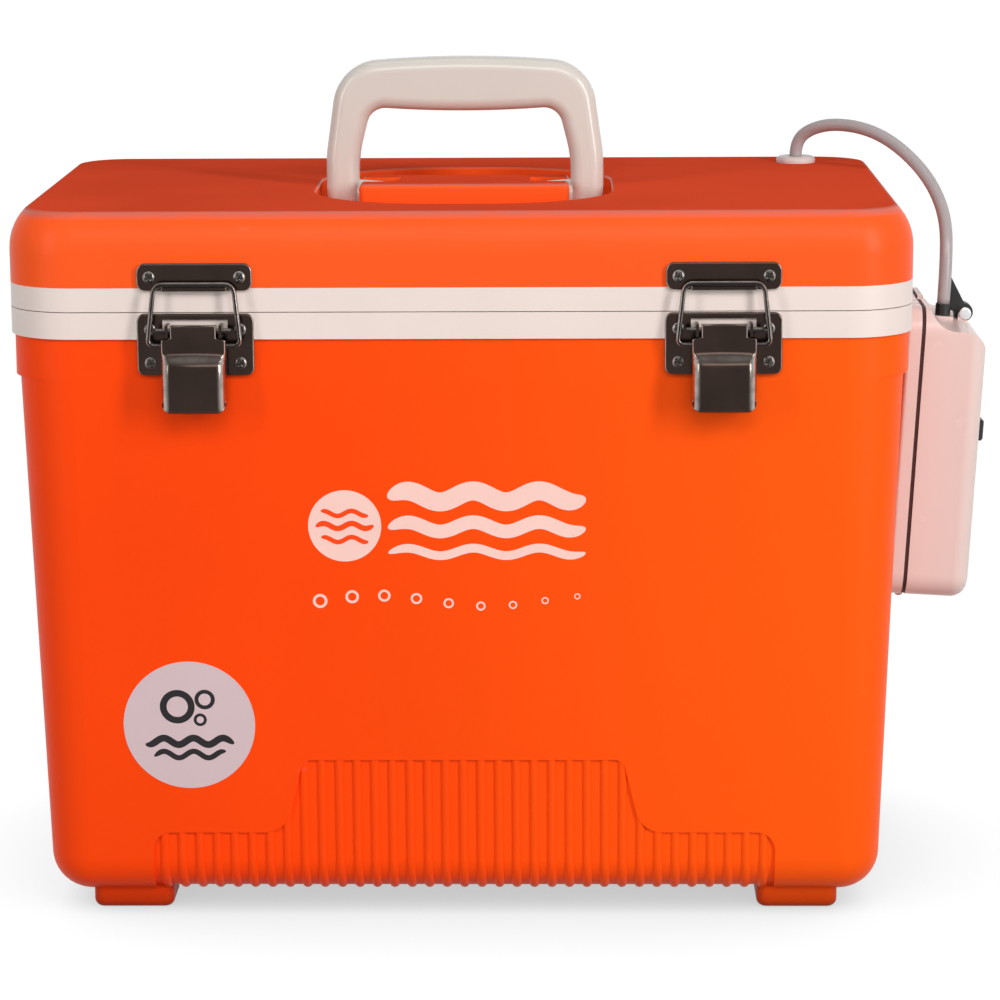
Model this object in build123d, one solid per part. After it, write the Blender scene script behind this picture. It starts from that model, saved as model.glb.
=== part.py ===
from build123d import *

import os
from math import cos, radians, sin, tan

# Insulated live-bait bucket with a clip-on battery air pump, in millimetres.
# It is modelled with the tub's centre on X = Y = 0 and its feet at Z = 0, the front facing -Y and
# the pump on +X.  Every piece is then moved by one shift, so that the origin is the centre of the
# bottom of the whole object without its hoses.

# ---------------------------------------------------------------- tub and lid
body_width = 420.0  # over the rim bands
body_depth = 254.0
corner_radius = 32.0  # plan corners of the rim bands
foot_height = 9.3
tub_height = 270.0  # orange shell, from its bottom to the rim band
tub_band_height = 12.3
seam_gap = 0.4  # lid band above the tub band
lid_band_height = 11.0
lid_shell_height = 34.3
wall_draft = 2.0  # degrees, tub walls lean in towards the bottom
collar_height = 19.5  # plain ring under the tub band
collar_inset = 1.6  # collar inside the band
collar_step = 2.3  # side walls inside the collar
bottom_radius = 19.0
lid_side_radius = 26.0  # the lid's sides curve in towards its top
lid_crown_cut = 7.0  # height that the flat top cuts off that curve
lid_crease_radius = 2.4
shell_wall = 4.0
lid_shell_wall = 3.5
liner_wall = 3.0
rim_width = 21.7  # mouth inside the band
mouth_corner_radius = 21.0
well_floor_radius = 8.0
floor_insulation = 20.7
foam_clearance = 0.3
plug_clearance = 6.0  # lid plug inside the mouth
plug_depth = 4.0
gasket_width = 4.0
gasket_inset = 8.0
gasket_height = 2.9
gasket_side_clearance = 0.15
lid_pad_proud = 0.7
lid_pad_length = 120.0
lid_pad_height = 12.0

# ---------------------------------------------------------------- feet and front ribs
foot_length = 38.5
foot_width = 30.0
foot_radius = 5.0
foot_edge_radius = 3.5
foot_center_x = 159.0
foot_front_setback = 23.0  # foot behind the front of the rim band
rib_count = 35
rib_pitch = 8.36
rib_panel_depth = 1.5
rib_radius = 2.5
rib_crown_drop = 0.15  # rib crowns under the plain wall
panel_low_half = 147.5  # half width of the low shoulders
panel_low_top = 41.5
panel_high_half = 75.5  # half width of the raised middle
panel_high_top = 77.3
panel_slope_run = 8.5
panel_corner_radius = 9.0
panel_foot_radius = 13.0  # where the low shoulder turns up
panel_head_radius = 5.0  # where the raised middle begins
rib_wrap = 12.0  # ribs run on under the bottom

# ---------------------------------------------------------------- handle and its recess
handle_pivot_y = -10.0
handle_pivot_height = 5.3  # pivot below the lid top
handle_leg_half = 67.2  # outer face of a leg at the pivot
handle_leg_width = 15.9
handle_bend_rise = 20.0  # legs are upright up to this far above the pivot
handle_leg_lean = 6.2  # above it the outer face leans in by this up to the shoulder
handle_palm_lean = 6.1  # and the inner face by this up to the palm
handle_bend_radius = 60.0
handle_rise = 67.6  # crown above the pivot
handle_grip_height = 26.0
handle_crown = 3.5
handle_palm_sag = 1.9
handle_thickness = 18.0
handle_shoulder_radius = 23.0
handle_palm_radius = 9.0
handle_edge_radius = 6.0
recess_half_x = 71.0
recess_half_y = 80.0
recess_radius = 58.0
recess_depth = 17.0
recess_wall = 3.0
recess_floor_radius = 3.0
recess_edge_radius = 1.4
bridge_half_x = 50.6
bridge_half_y = 22.0
bridge_proud = 2.6  # bridge above the lid top
bridge_radius = 3.0
bridge_edge_radius = 2.3
stub_radius = 8.0
stub_tip_radius = 6.5
stub_length = 19.0
stub_clearance = 0.6
stub_sink = 1.0  # stub runs into the leg
axle_radius = 2.5
axle_half_length = 60.0
running_clearance = 0.05  # radial, pins in their bores
cut_over = 1.0  # a cutter runs past the face it opens

# ---------------------------------------------------------------- draw latches
latch_center_x = 121.0
keeper_half_x = 26.5
keeper_height = 12.6
keeper_thickness = 2.2
keeper_overlap = 1.0  # keeper over the lid band
keeper_radius = 4.0
keeper_edge_radius = 0.9
keeper_screw_inset = 5.8
nose_half_x = 15.0
nose_height = 2.4
nose_proud = 2.2
latch_base_half_x = 26.9
latch_base_height = 28.6
latch_base_top_gap = 0.2  # base below the rim
latch_base_thickness = 1.5
latch_base_radius = 3.5
latch_base_edge_radius = 0.9
base_screw_inset = 6.2  # from the base's side edges
base_screw_rise = 5.8  # lower screws above the base's lower edge
base_screw_drop = 7.3  # upper screws below its top
window_half_x = 15.0
window_height = 4.3
window_drop = 2.7  # window below the base's top
latch_pivot_drop = 7.1  # pivot below the base's top
latch_pivot_out = 7.1  # pivot in front of the base
lug_inner_x = 11.6
lug_thickness = 1.4
lug_half_height = 2.8
lug_overhang = 2.4
latch_pin_radius = 1.3
latch_pin_half = 17.2
lever_half_x = 14.7
lever_sheet = 1.4
neck_half_x = 10.5
neck_rise = 4.2  # neck above the pivot
neck_drop = 3.3  # full width starts this far below the pivot
barrel_wall = 1.4
cup_top_drop = 10.2
lever_length = 37.2  # pivot to the lever's lower edge
cup_out = 8.6  # cup's face in front of the pivot
cup_in = 4.6  # cup's rim behind the pivot
cup_edge_radius = 4.0
bail_pivot_drop = 6.9
bail_pivot_in = 0.8
bail_wire_radius = 1.15
bail_foot_half = 21.2
bail_top_half = 18.2
bail_bar_height = 3.4  # bar above the keeper's lower edge
bail_nose_gap = 0.3
bail_foot_bend = 2.6
bail_top_bend = 4.5
bail_toe_gap = 0.6  # wire end inside the lever's flange

# ---------------------------------------------------------------- rear hinges
hinge_center_x = 120.0
hinge_length = 60.0
hinge_leaf_thickness = 2.0
hinge_knuckle_radius = 3.5
hinge_pin_radius = 1.75
hinge_knuckle_count = 5
hinge_knuckle_gap = 0.4
hinge_stand_off = 0.5  # knuckles clear of the band
tub_leaf_height = 30.0
lid_leaf_height = 30.0
leaf_gap = 4.5  # leaf plates above and below the axis
leaf_screw_pitch = 20.0
tub_leaf_screw_drop = 25.5  # below the hinge axis
lid_leaf_screw_rise = 22.5  # above the hinge axis
hinge_pin_head_radius = 2.8
hinge_pin_head = 1.2

# ---------------------------------------------------------------- screws
screw_head_radius = 2.9
screw_head_height = 1.5
screw_shank_radius = 1.7
screw_hole_clearance = 0.1
screw_head_edge_radius = 0.9
cross_length = 3.2
cross_width = 0.8
cross_depth = 0.8

# ---------------------------------------------------------------- air pump case
pump_lean = 3.3  # degrees, top away from the tub
pump_bottom_drop = 121.3  # below the collar
pump_seam_out = 3.3  # seam plane at the pump's bottom, outside the rim's half width
pump_height = 142.0
pump_width = 90.0
pump_corner_radius = 12.0
pump_cover_depth = 31.0
pump_back_depth = 8.0
pump_wall = 2.0
pump_gasket_back = 1.0
pump_gasket_front = 0.9
case_gasket_inset = 0.5
pump_edge_radius = 8.0
pump_back_edge_radius = 2.0
shelf_drop = 10.0  # shelf at the outer top of the cover, below the case's top
shelf_neck = 3.5  # full-height strip beside the seam
shelf_inner = 18.0
shelf_outer_radius = 11.0
arm_half_width = 5.6
arm_clearance = 0.4
arm_reach = 18.0
arm_drop = 3.4  # arm's underside below the shelf
arm_thickness = 5.0
nozzle_radius = 3.7
nozzle_out = 13.2
nozzle_rise = 5.7  # nozzle above the arm
nozzle_stem_radius = 2.9
case_knuckle_radius = 2.3
case_knuckle_length = 11.6
case_knuckle_gap = 0.4
case_knuckle_count = 3
case_knuckle_drop = 0.1  # knuckles below the case
case_knuckle_foot = 4.6  # knuckle's foot along the case's bottom
case_pin_radius = 1.0
catch_out = 24.0
catch_rise = 2.9  # catch bar's axis above the shelf
catch_radius = 3.2
catch_low_y = -2.0
catch_high_y = 17.0
catch_ear = 3.0
catch_ear_out = 1.6  # ear beyond the bar's axis
catch_edge_radius = 1.0
catch_hub_radius = 4.6
catch_hub_low_y = 4.4
catch_hub_high_y = 12.4
catch_groove_clearance = 0.4
catch_apex_in = 9.8  # apex towards the seam from the bar's axis
catch_apex_rise = 17.6
catch_apex_width = 2.2
catch_heel_rise = 2.1
switch_height = 82.0
switch_y = -24.0  # towards the front
switch_knob_length = 10.3
switch_knob_width = 8.0
switch_knob_proud = 3.3
switch_knob_chamfer = 0.9
switch_travel = 2.5  # each way from off
switch_stem = 3.0
switch_slot_clearance = 0.3
switch_plate_thickness = 1.4

# ---------------------------------------------------------------- inside the pump case
battery_radius = 16.6
battery_length = 59.8
battery_cap_radius = 4.8
battery_cap_height = 1.6
battery_gap = 1.6
battery_edge_radius = 0.6
battery_out = 11.4
shelf_thickness = 3.0
chassis_low = 3.0
chassis_half_width = 36.6
chassis_reach = 22.0
chassis_post = 2.0
contact_half_span = 23.0
spring_radius = 5.0
contact_thickness = 0.6
contact_radius = 6.0
spring_height = 2.0
motor_radius = 11.0
motor_length = 25.0
motor_out = 9.0
motor_y = -22.0
motor_shaft_radius = 1.2
motor_bore_depth = 6.0
crank_gap = 0.8  # crank above the motor
crank_radius = 5.0
crank_thickness = 3.4
crank_throw = 1.0  # crank pin off the shaft's axis
crank_pin_radius = 1.0
link_gap = 0.3  # link above the crank
link_width = 3.0
link_thickness = 2.0
link_eye_wall = 1.4
link_eye_clearance = 0.3  # round the crank pin's whole orbit
air_chamber_width = 30.0
air_chamber_height = 32.0
air_chamber_depth = 22.0
air_chamber_y = 8.0
air_chamber_out = 5.0
diaphragm_radius = 10.0
diaphragm_thickness = 2.4

# ---------------------------------------------------------------- bracket, hoses and air stone
bracket_low_drop = 94.8  # below the collar
bracket_high_drop = 24.8
bracket_half_y = 30.0
mount_pad_half_y = 47.0
mount_pad_lift = 1.7  # pad's lower edge above the collar's
mount_pad_rise = 25.2  # pad's upper edge above the collar's lower edge
band_side_gap = 0.1
bracket_screw_y = 20.0
bracket_screw_inset = 12.0
bracket_web = 0.8  # bracket left under a screw's head
head_room_depth = 12.0
hose_radius = 3.175
bend_share = 0.45  # of the shorter run beside a bend
grommet_side_inset = 43.0  # from the body's side
grommet_back_inset = 36.0  # from its back
grommet_radius = 10.0
grommet_flange = 3.2
grommet_edge_radius = 2.2
grommet_stem_radius = 5.5
grommet_bore = 2.0
grommet_tail = 3.0  # stem below the lid plug
stone_radius = 9.0
stone_length = 26.0
stone_edge_radius = 1.5
stone_x = 148.0
stone_y = 40.0
stone_barb_radius = 3.0
stone_barb_height = 7.0
# Outer hose from the nozzle over to the grommet; inner hose from the grommet down to the air stone.
outer_hose_points = [
    (236.0, 13.0, 319.5),
    (229.5, 31.0, 335.5),
    (216.5, 49.5, 349.0),
    (202.5, 63.5, 356.5),
    (186.0, 77.5, 358.3),
    (173.5, 87.2, 354.5),
]
outer_hose_first_run = 23.7
outer_hose_last_run = 7.0
inner_hose_points = [
    (161.5, 82.0, 239.0),
    (165.0, 68.0, 217.0),
    (171.0, 58.0, 192.0),
    (168.0, 50.0, 166.0),
    (158.0, 46.0, 143.0),
    (154.0, 44.0, 117.0),
]
inner_hose_first_run = 24.0
inner_hose_last_run = 22.0

# ---------------------------------------------------------------- heights and half sizes
half_x = body_width / 2
half_y = body_depth / 2
z_bottom = foot_height
z_band = z_bottom + tub_height
z_rim = z_band + tub_band_height
z_collar = z_band - collar_height
z_lid = z_rim + seam_gap
z_lid_shell = z_lid + lid_band_height
z_lid_top = z_lid_shell + lid_shell_height
z_floor = z_bottom + shell_wall + floor_insulation + liner_wall
draft = tan(radians(wall_draft))
wall_inset = collar_inset + collar_step
front_wall_y = half_y - collar_inset
z_pivot = z_lid_top - handle_pivot_height
z_recess = z_lid_top - recess_depth
shelf_top = pump_height - shelf_drop
arm_bottom = shelf_top - arm_drop
arm_top = arm_bottom + arm_thickness
nozzle_top = arm_top + nozzle_rise
catch_height = shelf_top + catch_rise
catch_apex_out = catch_out - catch_apex_in
catch_apex_height = catch_height + catch_apex_rise
catch_heel_height = catch_height + catch_heel_rise
pump_bottom_z = z_collar - pump_bottom_drop
pump_seam_x = half_x + pump_seam_out
bracket_low_z = z_collar - bracket_low_drop
bracket_high_z = z_collar - bracket_high_drop
mount_pad_low_z = z_collar + mount_pad_lift
mount_pad_high_z = z_collar + mount_pad_rise
grommet_x = half_x - grommet_side_inset
grommet_y = half_y - grommet_back_inset


def rounded_prism(half_width, half_depth, radius, low, high):
    """Upright block with rounded plan corners between two heights."""
    outline = RectangleRounded(2 * half_width, 2 * half_depth, radius)
    return Pos(0, 0, low) * extrude(outline, high - low)


def tapered_block(inset, radius, low, high, deeper=0):
    """Block that follows the tub walls' draft, set inward from the rim band by `inset`.

    Its front and back stand out by `deeper`.
    """
    sections = []
    for height in (low, high):
        lean = (z_collar - height) * draft
        outline = RectangleRounded(
            2 * (half_x - inset - lean), 2 * (half_y - inset - lean + deeper), radius - lean
        )
        sections.append(Pos(0, 0, height) * outline)
    return loft(sections, ruled=True)


def span_box(low, high):
    """Box between two corners."""
    size = [b - a for a, b in zip(low, high)]
    center = [(a + b) / 2 for a, b in zip(low, high)]
    return Pos(*center) * Box(*size)


def rod_x(radius, low, high, y, z):
    """Cylinder along X between two stations."""
    return Pos((low + high) / 2, y, z) * Rot(0, 90, 0) * Cylinder(radius, high - low)


def rod_y(radius, low, high, x, z):
    """Cylinder along Y between two stations."""
    return Pos(x, (low + high) / 2, z) * Rot(90, 0, 0) * Cylinder(radius, high - low)


def rod_z(radius, low, high, x, y):
    """Upright cylinder between two heights."""
    return Pos(x, y, (low + high) / 2) * Cylinder(radius, high - low)


def screw(place, grip):
    """Pan-head screw whose head stands on the +Z side of `place` and whose shank is `grip` long."""
    head = Pos(0, 0, screw_head_height / 2) * Cylinder(screw_head_radius, screw_head_height)
    head = fillet(head.edges().group_by(Axis.Z)[-1], screw_head_edge_radius)
    for angle in (0, 90):
        slot = Box(cross_length, cross_width, cross_depth)
        head -= Pos(0, 0, screw_head_height - cross_depth / 2) * Rot(0, 0, angle) * slot
    return place * (head + Pos(0, 0, -grip / 2) * Cylinder(screw_shank_radius, grip))


def screw_hole(place, grip):
    """Clearance hole for the shank of a screw at `place`."""
    return place * Pos(0, 0, -grip / 2) * Cylinder(screw_shank_radius + screw_hole_clearance, grip)


def facing_front(x, y, z):
    """Place whose +Z points out of the front."""
    return Pos(x, y, z) * Rot(90, 0, 0)


def facing_back(x, y, z):
    """Place whose +Z points out of the back."""
    return Pos(x, y, z) * Rot(-90, 0, 0)


parts = {}


# ---------------------------------------------------------------- tub shell
def rib_path(sink):
    """Line of one rib: down the drafted front, round the bottom edge and on under the tub."""
    lean_top = (z_collar - panel_high_top) * draft
    lean_low = (z_collar - z_bottom) * draft
    front_top = -(front_wall_y - lean_top) + sink
    front_low = -(front_wall_y - lean_low) + sink
    corners = [
        (0, front_top, panel_high_top),
        (0, front_low, z_bottom + sink),
        (0, panel_end_y, z_bottom + sink),
    ]
    return FilletPolyline(*corners, radius=bottom_radius - sink)


def panel_outline():
    """Outline of the rib panel in the XZ plane: low shoulders that sweep up to a raised middle."""
    right = [
        (panel_low_half, -bottom_radius),
        (panel_low_half, panel_low_top),
        (panel_high_half + panel_slope_run, panel_low_top),
        (panel_high_half, panel_high_top),
    ]
    left = [(-x, z) for x, z in reversed(right)]
    bends = [panel_corner_radius, panel_foot_radius, panel_head_radius]
    path = FilletPolyline(*right, *left, radius=[*bends, *reversed(bends)])
    return make_face(Plane.XZ * (path + Line(path @ 1, path @ 0)))


def tub_wall_block(inset, bottom, radius):
    """Outer form of the tub with its rounded bottom edge, moved inward by `inset`.

    Its sides stand inside the collar, and its front and back are flush with it.
    """
    block = tapered_block(
        wall_inset + inset, corner_radius - wall_inset - inset, bottom, z_collar, collar_step
    )
    return fillet(block.edges().group_by(Axis.Z)[0], radius)


shell = tub_wall_block(0, z_bottom, bottom_radius)
shell += rounded_prism(
    half_x - collar_inset, half_y - collar_inset, corner_radius - collar_inset, z_collar, z_band
)
panel_end_y = -(front_wall_y - (z_collar - z_bottom) * draft) + bottom_radius + rib_wrap
panel = Pos(0, panel_end_y, 0) * extrude(panel_outline(), half_y + bottom_radius)
panel -= tub_wall_block(rib_panel_depth, z_bottom + rib_panel_depth, bottom_radius - rib_panel_depth)
shell -= panel
rib_line = rib_path(rib_crown_drop + rib_radius)
rib = sweep(Plane(rib_line @ 0, z_dir=rib_line % 0) * Circle(rib_radius), rib_line)
shell += [Pos((index - (rib_count - 1) / 2) * rib_pitch, 0, 0) * rib for index in range(rib_count)]
cavity_radius = corner_radius - wall_inset - shell_wall
shell -= tub_wall_block(shell_wall, z_bottom + shell_wall, bottom_radius - shell_wall)
shell -= rounded_prism(
    half_x - wall_inset - shell_wall,
    front_wall_y - shell_wall,
    cavity_radius,
    z_collar,
    z_band,
)

for side_x in (-foot_center_x, foot_center_x):
    for side_y in (-1, 1):
        foot_y = side_y * (half_y - foot_front_setback - foot_width / 2)
        foot = Pos(side_x, foot_y, 0) * rounded_prism(
            foot_length / 2, foot_width / 2, foot_radius, 0, z_bottom + shell_wall
        )
        shell += fillet(foot.edges().group_by(Axis.Z)[0], foot_edge_radius)
lean_radians = radians(pump_lean)
pump_frame = Location((pump_seam_x, 0, pump_bottom_z), (0, pump_lean, 0))


def pump_back_x(z):
    """X of the pump's back face at the height z."""
    return pump_seam_x - pump_back_depth / cos(lean_radians) + (z - pump_bottom_z) * tan(lean_radians)


def side_wall_x(z):
    """X of the tub's drafted right wall at the height z."""
    return half_x - wall_inset - (z_collar - z) * draft


def wedge(low, high, inner_low, inner_high, half_width):
    """Plate between an inner line and the pump's back face, extruded across Y."""
    corners = [
        (inner_low, low),
        (pump_back_x(low), low),
        (pump_back_x(high), high),
        (inner_high, high),
    ]
    return extrude(make_face(Plane.XZ * Polyline(*corners, close=True)), half_width, both=True)


pad_seat = half_x - collar_inset - shell_wall / 2
pad_free = half_x + band_side_gap
shell += wedge(mount_pad_low_z, z_band, pad_seat, pad_seat, mount_pad_half_y)
shell += wedge(z_band, mount_pad_high_z, pad_free, pad_free, mount_pad_half_y)

# ---------------------------------------------------------------- tub liner and insulation
interior = tapered_block(rim_width, mouth_corner_radius, z_floor, z_collar)
interior = fillet(interior.edges().group_by(Axis.Z)[0], well_floor_radius)
interior += tapered_block(rim_width, mouth_corner_radius, z_collar, z_rim)
pan_inset = rim_width - liner_wall
pan_radius = mouth_corner_radius + liner_wall
pan = tapered_block(pan_inset, pan_radius, z_floor - liner_wall, z_collar)
pan = fillet(pan.edges().group_by(Axis.Z)[0], well_floor_radius + liner_wall)
pan += tapered_block(pan_inset, pan_radius, z_collar, z_rim - liner_wall)
band = rounded_prism(half_x, half_y, corner_radius, z_band, z_rim)
band_hollow = rounded_prism(
    half_x - liner_wall, half_y - liner_wall, corner_radius - liner_wall, z_band, z_rim - liner_wall
)
foam = tub_wall_block(
    shell_wall + foam_clearance, z_bottom + shell_wall, bottom_radius - shell_wall
)
foam += rounded_prism(
    half_x - wall_inset - shell_wall - foam_clearance,
    front_wall_y - shell_wall - foam_clearance,
    cavity_radius - foam_clearance,
    z_collar,
    z_rim - liner_wall,
)
pan_room = tapered_block(
    pan_inset - foam_clearance, pan_radius + foam_clearance, z_floor - liner_wall, z_collar
)
pan_room = fillet(pan_room.edges().group_by(Axis.Z)[0], well_floor_radius + liner_wall)
pan_room += tapered_block(
    pan_inset - foam_clearance, pan_radius + foam_clearance, z_collar, z_rim - liner_wall
)
foam -= pan_room
liner = band - band_hollow + pan - interior
parts["tub_foam"] = foam

# ---------------------------------------------------------------- lid
def lid_block(inset, low):
    """Form of the lid moved inward by `inset`: sides that curve in and a flat top."""
    block = rounded_prism(
        half_x - inset,
        half_y - inset,
        corner_radius - inset,
        low,
        z_lid_top + lid_crown_cut - inset,
    )
    block = fillet(block.edges().group_by(Axis.Z)[-1], lid_side_radius - inset)
    return split(block, bisect_by=Plane.XY.offset(z_lid_top - inset), keep=Keep.BOTTOM)


lid = lid_block(0, z_lid_shell)
lid = fillet(lid.edges().group_by(Axis.Z)[-1], lid_crease_radius)
lid_hollow = lid_block(lid_shell_wall, z_lid_shell)
recess = Pos(0, handle_pivot_y, 0) * rounded_prism(
    recess_half_x, recess_half_y, recess_radius, z_recess, z_lid_top + recess_depth
)
recess = fillet(recess.edges().group_by(Axis.Z)[0], recess_floor_radius)
pocket = Pos(0, handle_pivot_y, 0) * rounded_prism(
    recess_half_x + recess_wall,
    recess_half_y + recess_wall,
    recess_radius + recess_wall,
    z_recess - recess_wall,
    z_lid_top - lid_shell_wall,
)
lid = lid - lid_hollow + pocket - recess
lid = fillet(
    [
        e
        for e in lid.edges().group_by(Axis.Z)[-1]
        if abs(e.center().X) <= recess_half_x and abs(e.center().Y - handle_pivot_y) <= recess_half_y
    ],
    recess_edge_radius,
)
bridge = Pos(0, handle_pivot_y, 0) * rounded_prism(
    bridge_half_x, bridge_half_y, bridge_radius, z_recess - recess_wall / 2, z_lid_top + bridge_proud
)
bridge = fillet(bridge.edges().group_by(Axis.Z)[-1], bridge_edge_radius)
bridge_top = z_lid_top + bridge_proud
stub_room = stub_radius + stub_clearance
leg_inner_x = handle_leg_half - handle_leg_width
stub_stop_x = leg_inner_x - stub_length - stub_clearance
for side in (-1, 1):
    near, far = sorted((side * stub_stop_x, side * (bridge_half_x + stub_clearance)))
    channel = rod_x(stub_room, near, far, handle_pivot_y, z_pivot)
    channel += span_box(
        (near, handle_pivot_y - stub_room, z_pivot), (far, handle_pivot_y + stub_room, bridge_top)
    )
    bridge -= channel
lid += bridge
lid -= rod_x(axle_radius, -bridge_half_x, bridge_half_x, handle_pivot_y, z_pivot)
for side in (-1, 1):
    near, far = sorted((side * (half_x - lid_shell_wall / 2), side * (half_x + lid_pad_proud)))
    pad = span_box(
        (near, -lid_pad_length / 2, z_lid_shell),
        (far, lid_pad_length / 2, z_lid_shell + lid_pad_height),
    )
    lid += pad
lid_liner = rounded_prism(half_x, half_y, corner_radius, z_lid, z_lid_shell)
lid_liner -= rounded_prism(
    half_x - liner_wall, half_y - liner_wall, corner_radius - liner_wall, z_lid + liner_wall, z_lid_shell
)
mouth_lean = (z_collar - z_rim) * draft
mouth_half_x = half_x - rim_width - mouth_lean
mouth_half_y = half_y - rim_width - mouth_lean
lid_liner += rounded_prism(
    mouth_half_x - plug_clearance,
    mouth_half_y - plug_clearance,
    mouth_corner_radius - plug_clearance,
    z_lid - plug_depth,
    z_lid + liner_wall,
)
plug_hollow = rounded_prism(
    mouth_half_x - plug_clearance - liner_wall,
    mouth_half_y - plug_clearance - liner_wall,
    mouth_corner_radius - plug_clearance - liner_wall,
    z_lid - plug_depth + liner_wall,
    z_lid + liner_wall,
)
lid_liner -= plug_hollow


def gasket_ring(side_clearance, low, high):
    """Ring round the mouth, widened on both sides by a clearance."""
    outer = gasket_inset - side_clearance
    inner = gasket_inset + gasket_width + side_clearance
    ring = rounded_prism(half_x - outer, half_y - outer, corner_radius - outer, low, high)
    return ring - rounded_prism(half_x - inner, half_y - inner, corner_radius - inner, low, high)


lid_liner -= gasket_ring(gasket_side_clearance, z_lid, z_rim + gasket_height)
parts["lid_gasket"] = gasket_ring(0, z_rim, z_rim + gasket_height)
lid_foam = lid_block(lid_shell_wall + foam_clearance, z_lid + liner_wall)
lid_foam -= Pos(0, handle_pivot_y, 0) * rounded_prism(
    recess_half_x + recess_wall + foam_clearance,
    recess_half_y + recess_wall + foam_clearance,
    recess_radius + recess_wall,
    z_recess - recess_wall - foam_clearance,
    z_lid_top,
)
stem_low = z_lid - plug_depth - grommet_tail
stem_hole = rod_z(
    grommet_stem_radius + screw_hole_clearance, stem_low, z_lid_top, grommet_x, grommet_y
)
lid -= stem_hole
lid_liner -= stem_hole
lid_foam -= stem_hole
parts["lid_foam"] = lid_foam
grommet_top = z_lid_top + grommet_flange
flange = rod_z(grommet_radius, z_lid_top, grommet_top, grommet_x, grommet_y)
flange = fillet(flange.edges().group_by(Axis.Z)[-1], grommet_edge_radius)
grommet = flange + rod_z(grommet_stem_radius, stem_low, z_lid_top, grommet_x, grommet_y)
grommet -= rod_z(grommet_bore, stem_low, grommet_top, grommet_x, grommet_y)
parts["hose_grommet"] = grommet

# ---------------------------------------------------------------- carrying handle
leg_drop = handle_thickness / 2
crown_z = z_pivot + handle_rise
palm_z = crown_z - handle_grip_height
palm_half = leg_inner_x - handle_palm_lean


def handle_outline(leg_x, corner_x, corner_z, middle_z, corner_radius_at):
    """Arch in the XZ plane: upright legs that lean in above their bends, and a curved top."""
    foot_z = z_pivot - leg_drop
    bend_z = z_pivot + handle_bend_rise
    right = [(leg_x, foot_z), (leg_x, bend_z), (corner_x, corner_z)]
    left = [(-x, z) for x, z in reversed(right)]
    outline = Polyline(*left, *right) + ThreePointArc(right[-1], (0, middle_z), left[0])
    face = fillet(make_face(outline).vertices().group_by(Axis.Y)[1], handle_bend_radius)
    return fillet(face.vertices().group_by(Axis.Y)[-1], corner_radius_at)


outer_outline = handle_outline(
    handle_leg_half,
    handle_leg_half - handle_leg_lean,
    crown_z - handle_crown,
    crown_z,
    handle_shoulder_radius,
)
palm_outline = handle_outline(
    leg_inner_x, palm_half, palm_z + handle_palm_sag, palm_z, handle_palm_radius
)
handle_face = Pos(0, handle_pivot_y, 0) * (Plane.XZ * (outer_outline - palm_outline))
handle = extrude(handle_face, handle_thickness / 2, both=True)
leg_ends = span_box(
    (-handle_leg_half, handle_pivot_y - leg_drop, z_pivot),
    (handle_leg_half, handle_pivot_y + leg_drop, crown_z + leg_drop),
)
leg_ends += rod_x(leg_drop, -handle_leg_half, handle_leg_half, handle_pivot_y, z_pivot)
handle = fillet(
    [
        e
        for e in handle.edges()
        if e.bounding_box().size.Y < handle_thickness / 2 and e.bounding_box().max.Z > z_pivot
    ],
    handle_edge_radius,
)
handle &= leg_ends
for side in (-1, 1):
    stub = Rot(0, side * 90, 0) * Cone(stub_tip_radius, stub_radius, stub_length)
    handle += Pos(side * (leg_inner_x - stub_length / 2 + stub_sink), handle_pivot_y, z_pivot) * stub
axle_bore = axle_radius + running_clearance
bore_half = handle_leg_half + cut_over
handle -= rod_x(axle_bore, -bore_half, bore_half, handle_pivot_y, z_pivot)
parts["handle"] = handle
parts["handle_axle"] = rod_x(
    axle_radius, -axle_half_length, axle_half_length, handle_pivot_y, z_pivot
)

# ---------------------------------------------------------------- draw latches
front_y = -half_y
keeper_low = z_lid_shell - keeper_overlap
keeper_screw_x = keeper_half_x - keeper_screw_inset
base_screw_x = latch_base_half_x - base_screw_inset
base_top = z_rim - latch_base_top_gap
base_low = base_top - latch_base_height
base_front = front_y - latch_base_thickness
latch_pivot_y = base_front - latch_pivot_out
latch_pivot_z = base_top - latch_pivot_drop
bail_pivot_y = latch_pivot_y + bail_pivot_in
bail_pivot_z = latch_pivot_z - bail_pivot_drop
nose_front = front_y - keeper_thickness - nose_proud
bail_bar_y = nose_front - bail_nose_gap - bail_wire_radius
bail_bar_z = keeper_low + bail_bar_height
keeper_grip = keeper_thickness + lid_shell_wall
base_grip = latch_base_thickness + collar_inset + shell_wall
keeper_screws = []
base_screws = []


def plate_at_front(half_width, low, high, thickness, radius):
    """Plate with rounded corners lying on the front plane of the rim bands."""
    outline = RectangleRounded(2 * half_width, high - low, radius)
    face = Pos(0, front_y, (low + high) / 2) * (Plane.XZ * outline)
    return extrude(face, thickness)


def latch_keeper():
    """Plate on the lid whose lower edge carries the nose for the bail."""
    plate = plate_at_front(
        keeper_half_x, keeper_low, keeper_low + keeper_height, keeper_thickness, keeper_radius
    )
    plate = fillet(plate.edges().group_by(Axis.Y)[0], keeper_edge_radius)
    nose = span_box(
        (-nose_half_x, nose_front, keeper_low),
        (nose_half_x, front_y - keeper_thickness / 2, keeper_low + nose_height),
    )
    nose = fillet(nose.edges().group_by(Axis.Y)[0], keeper_edge_radius)
    return plate + nose


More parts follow.
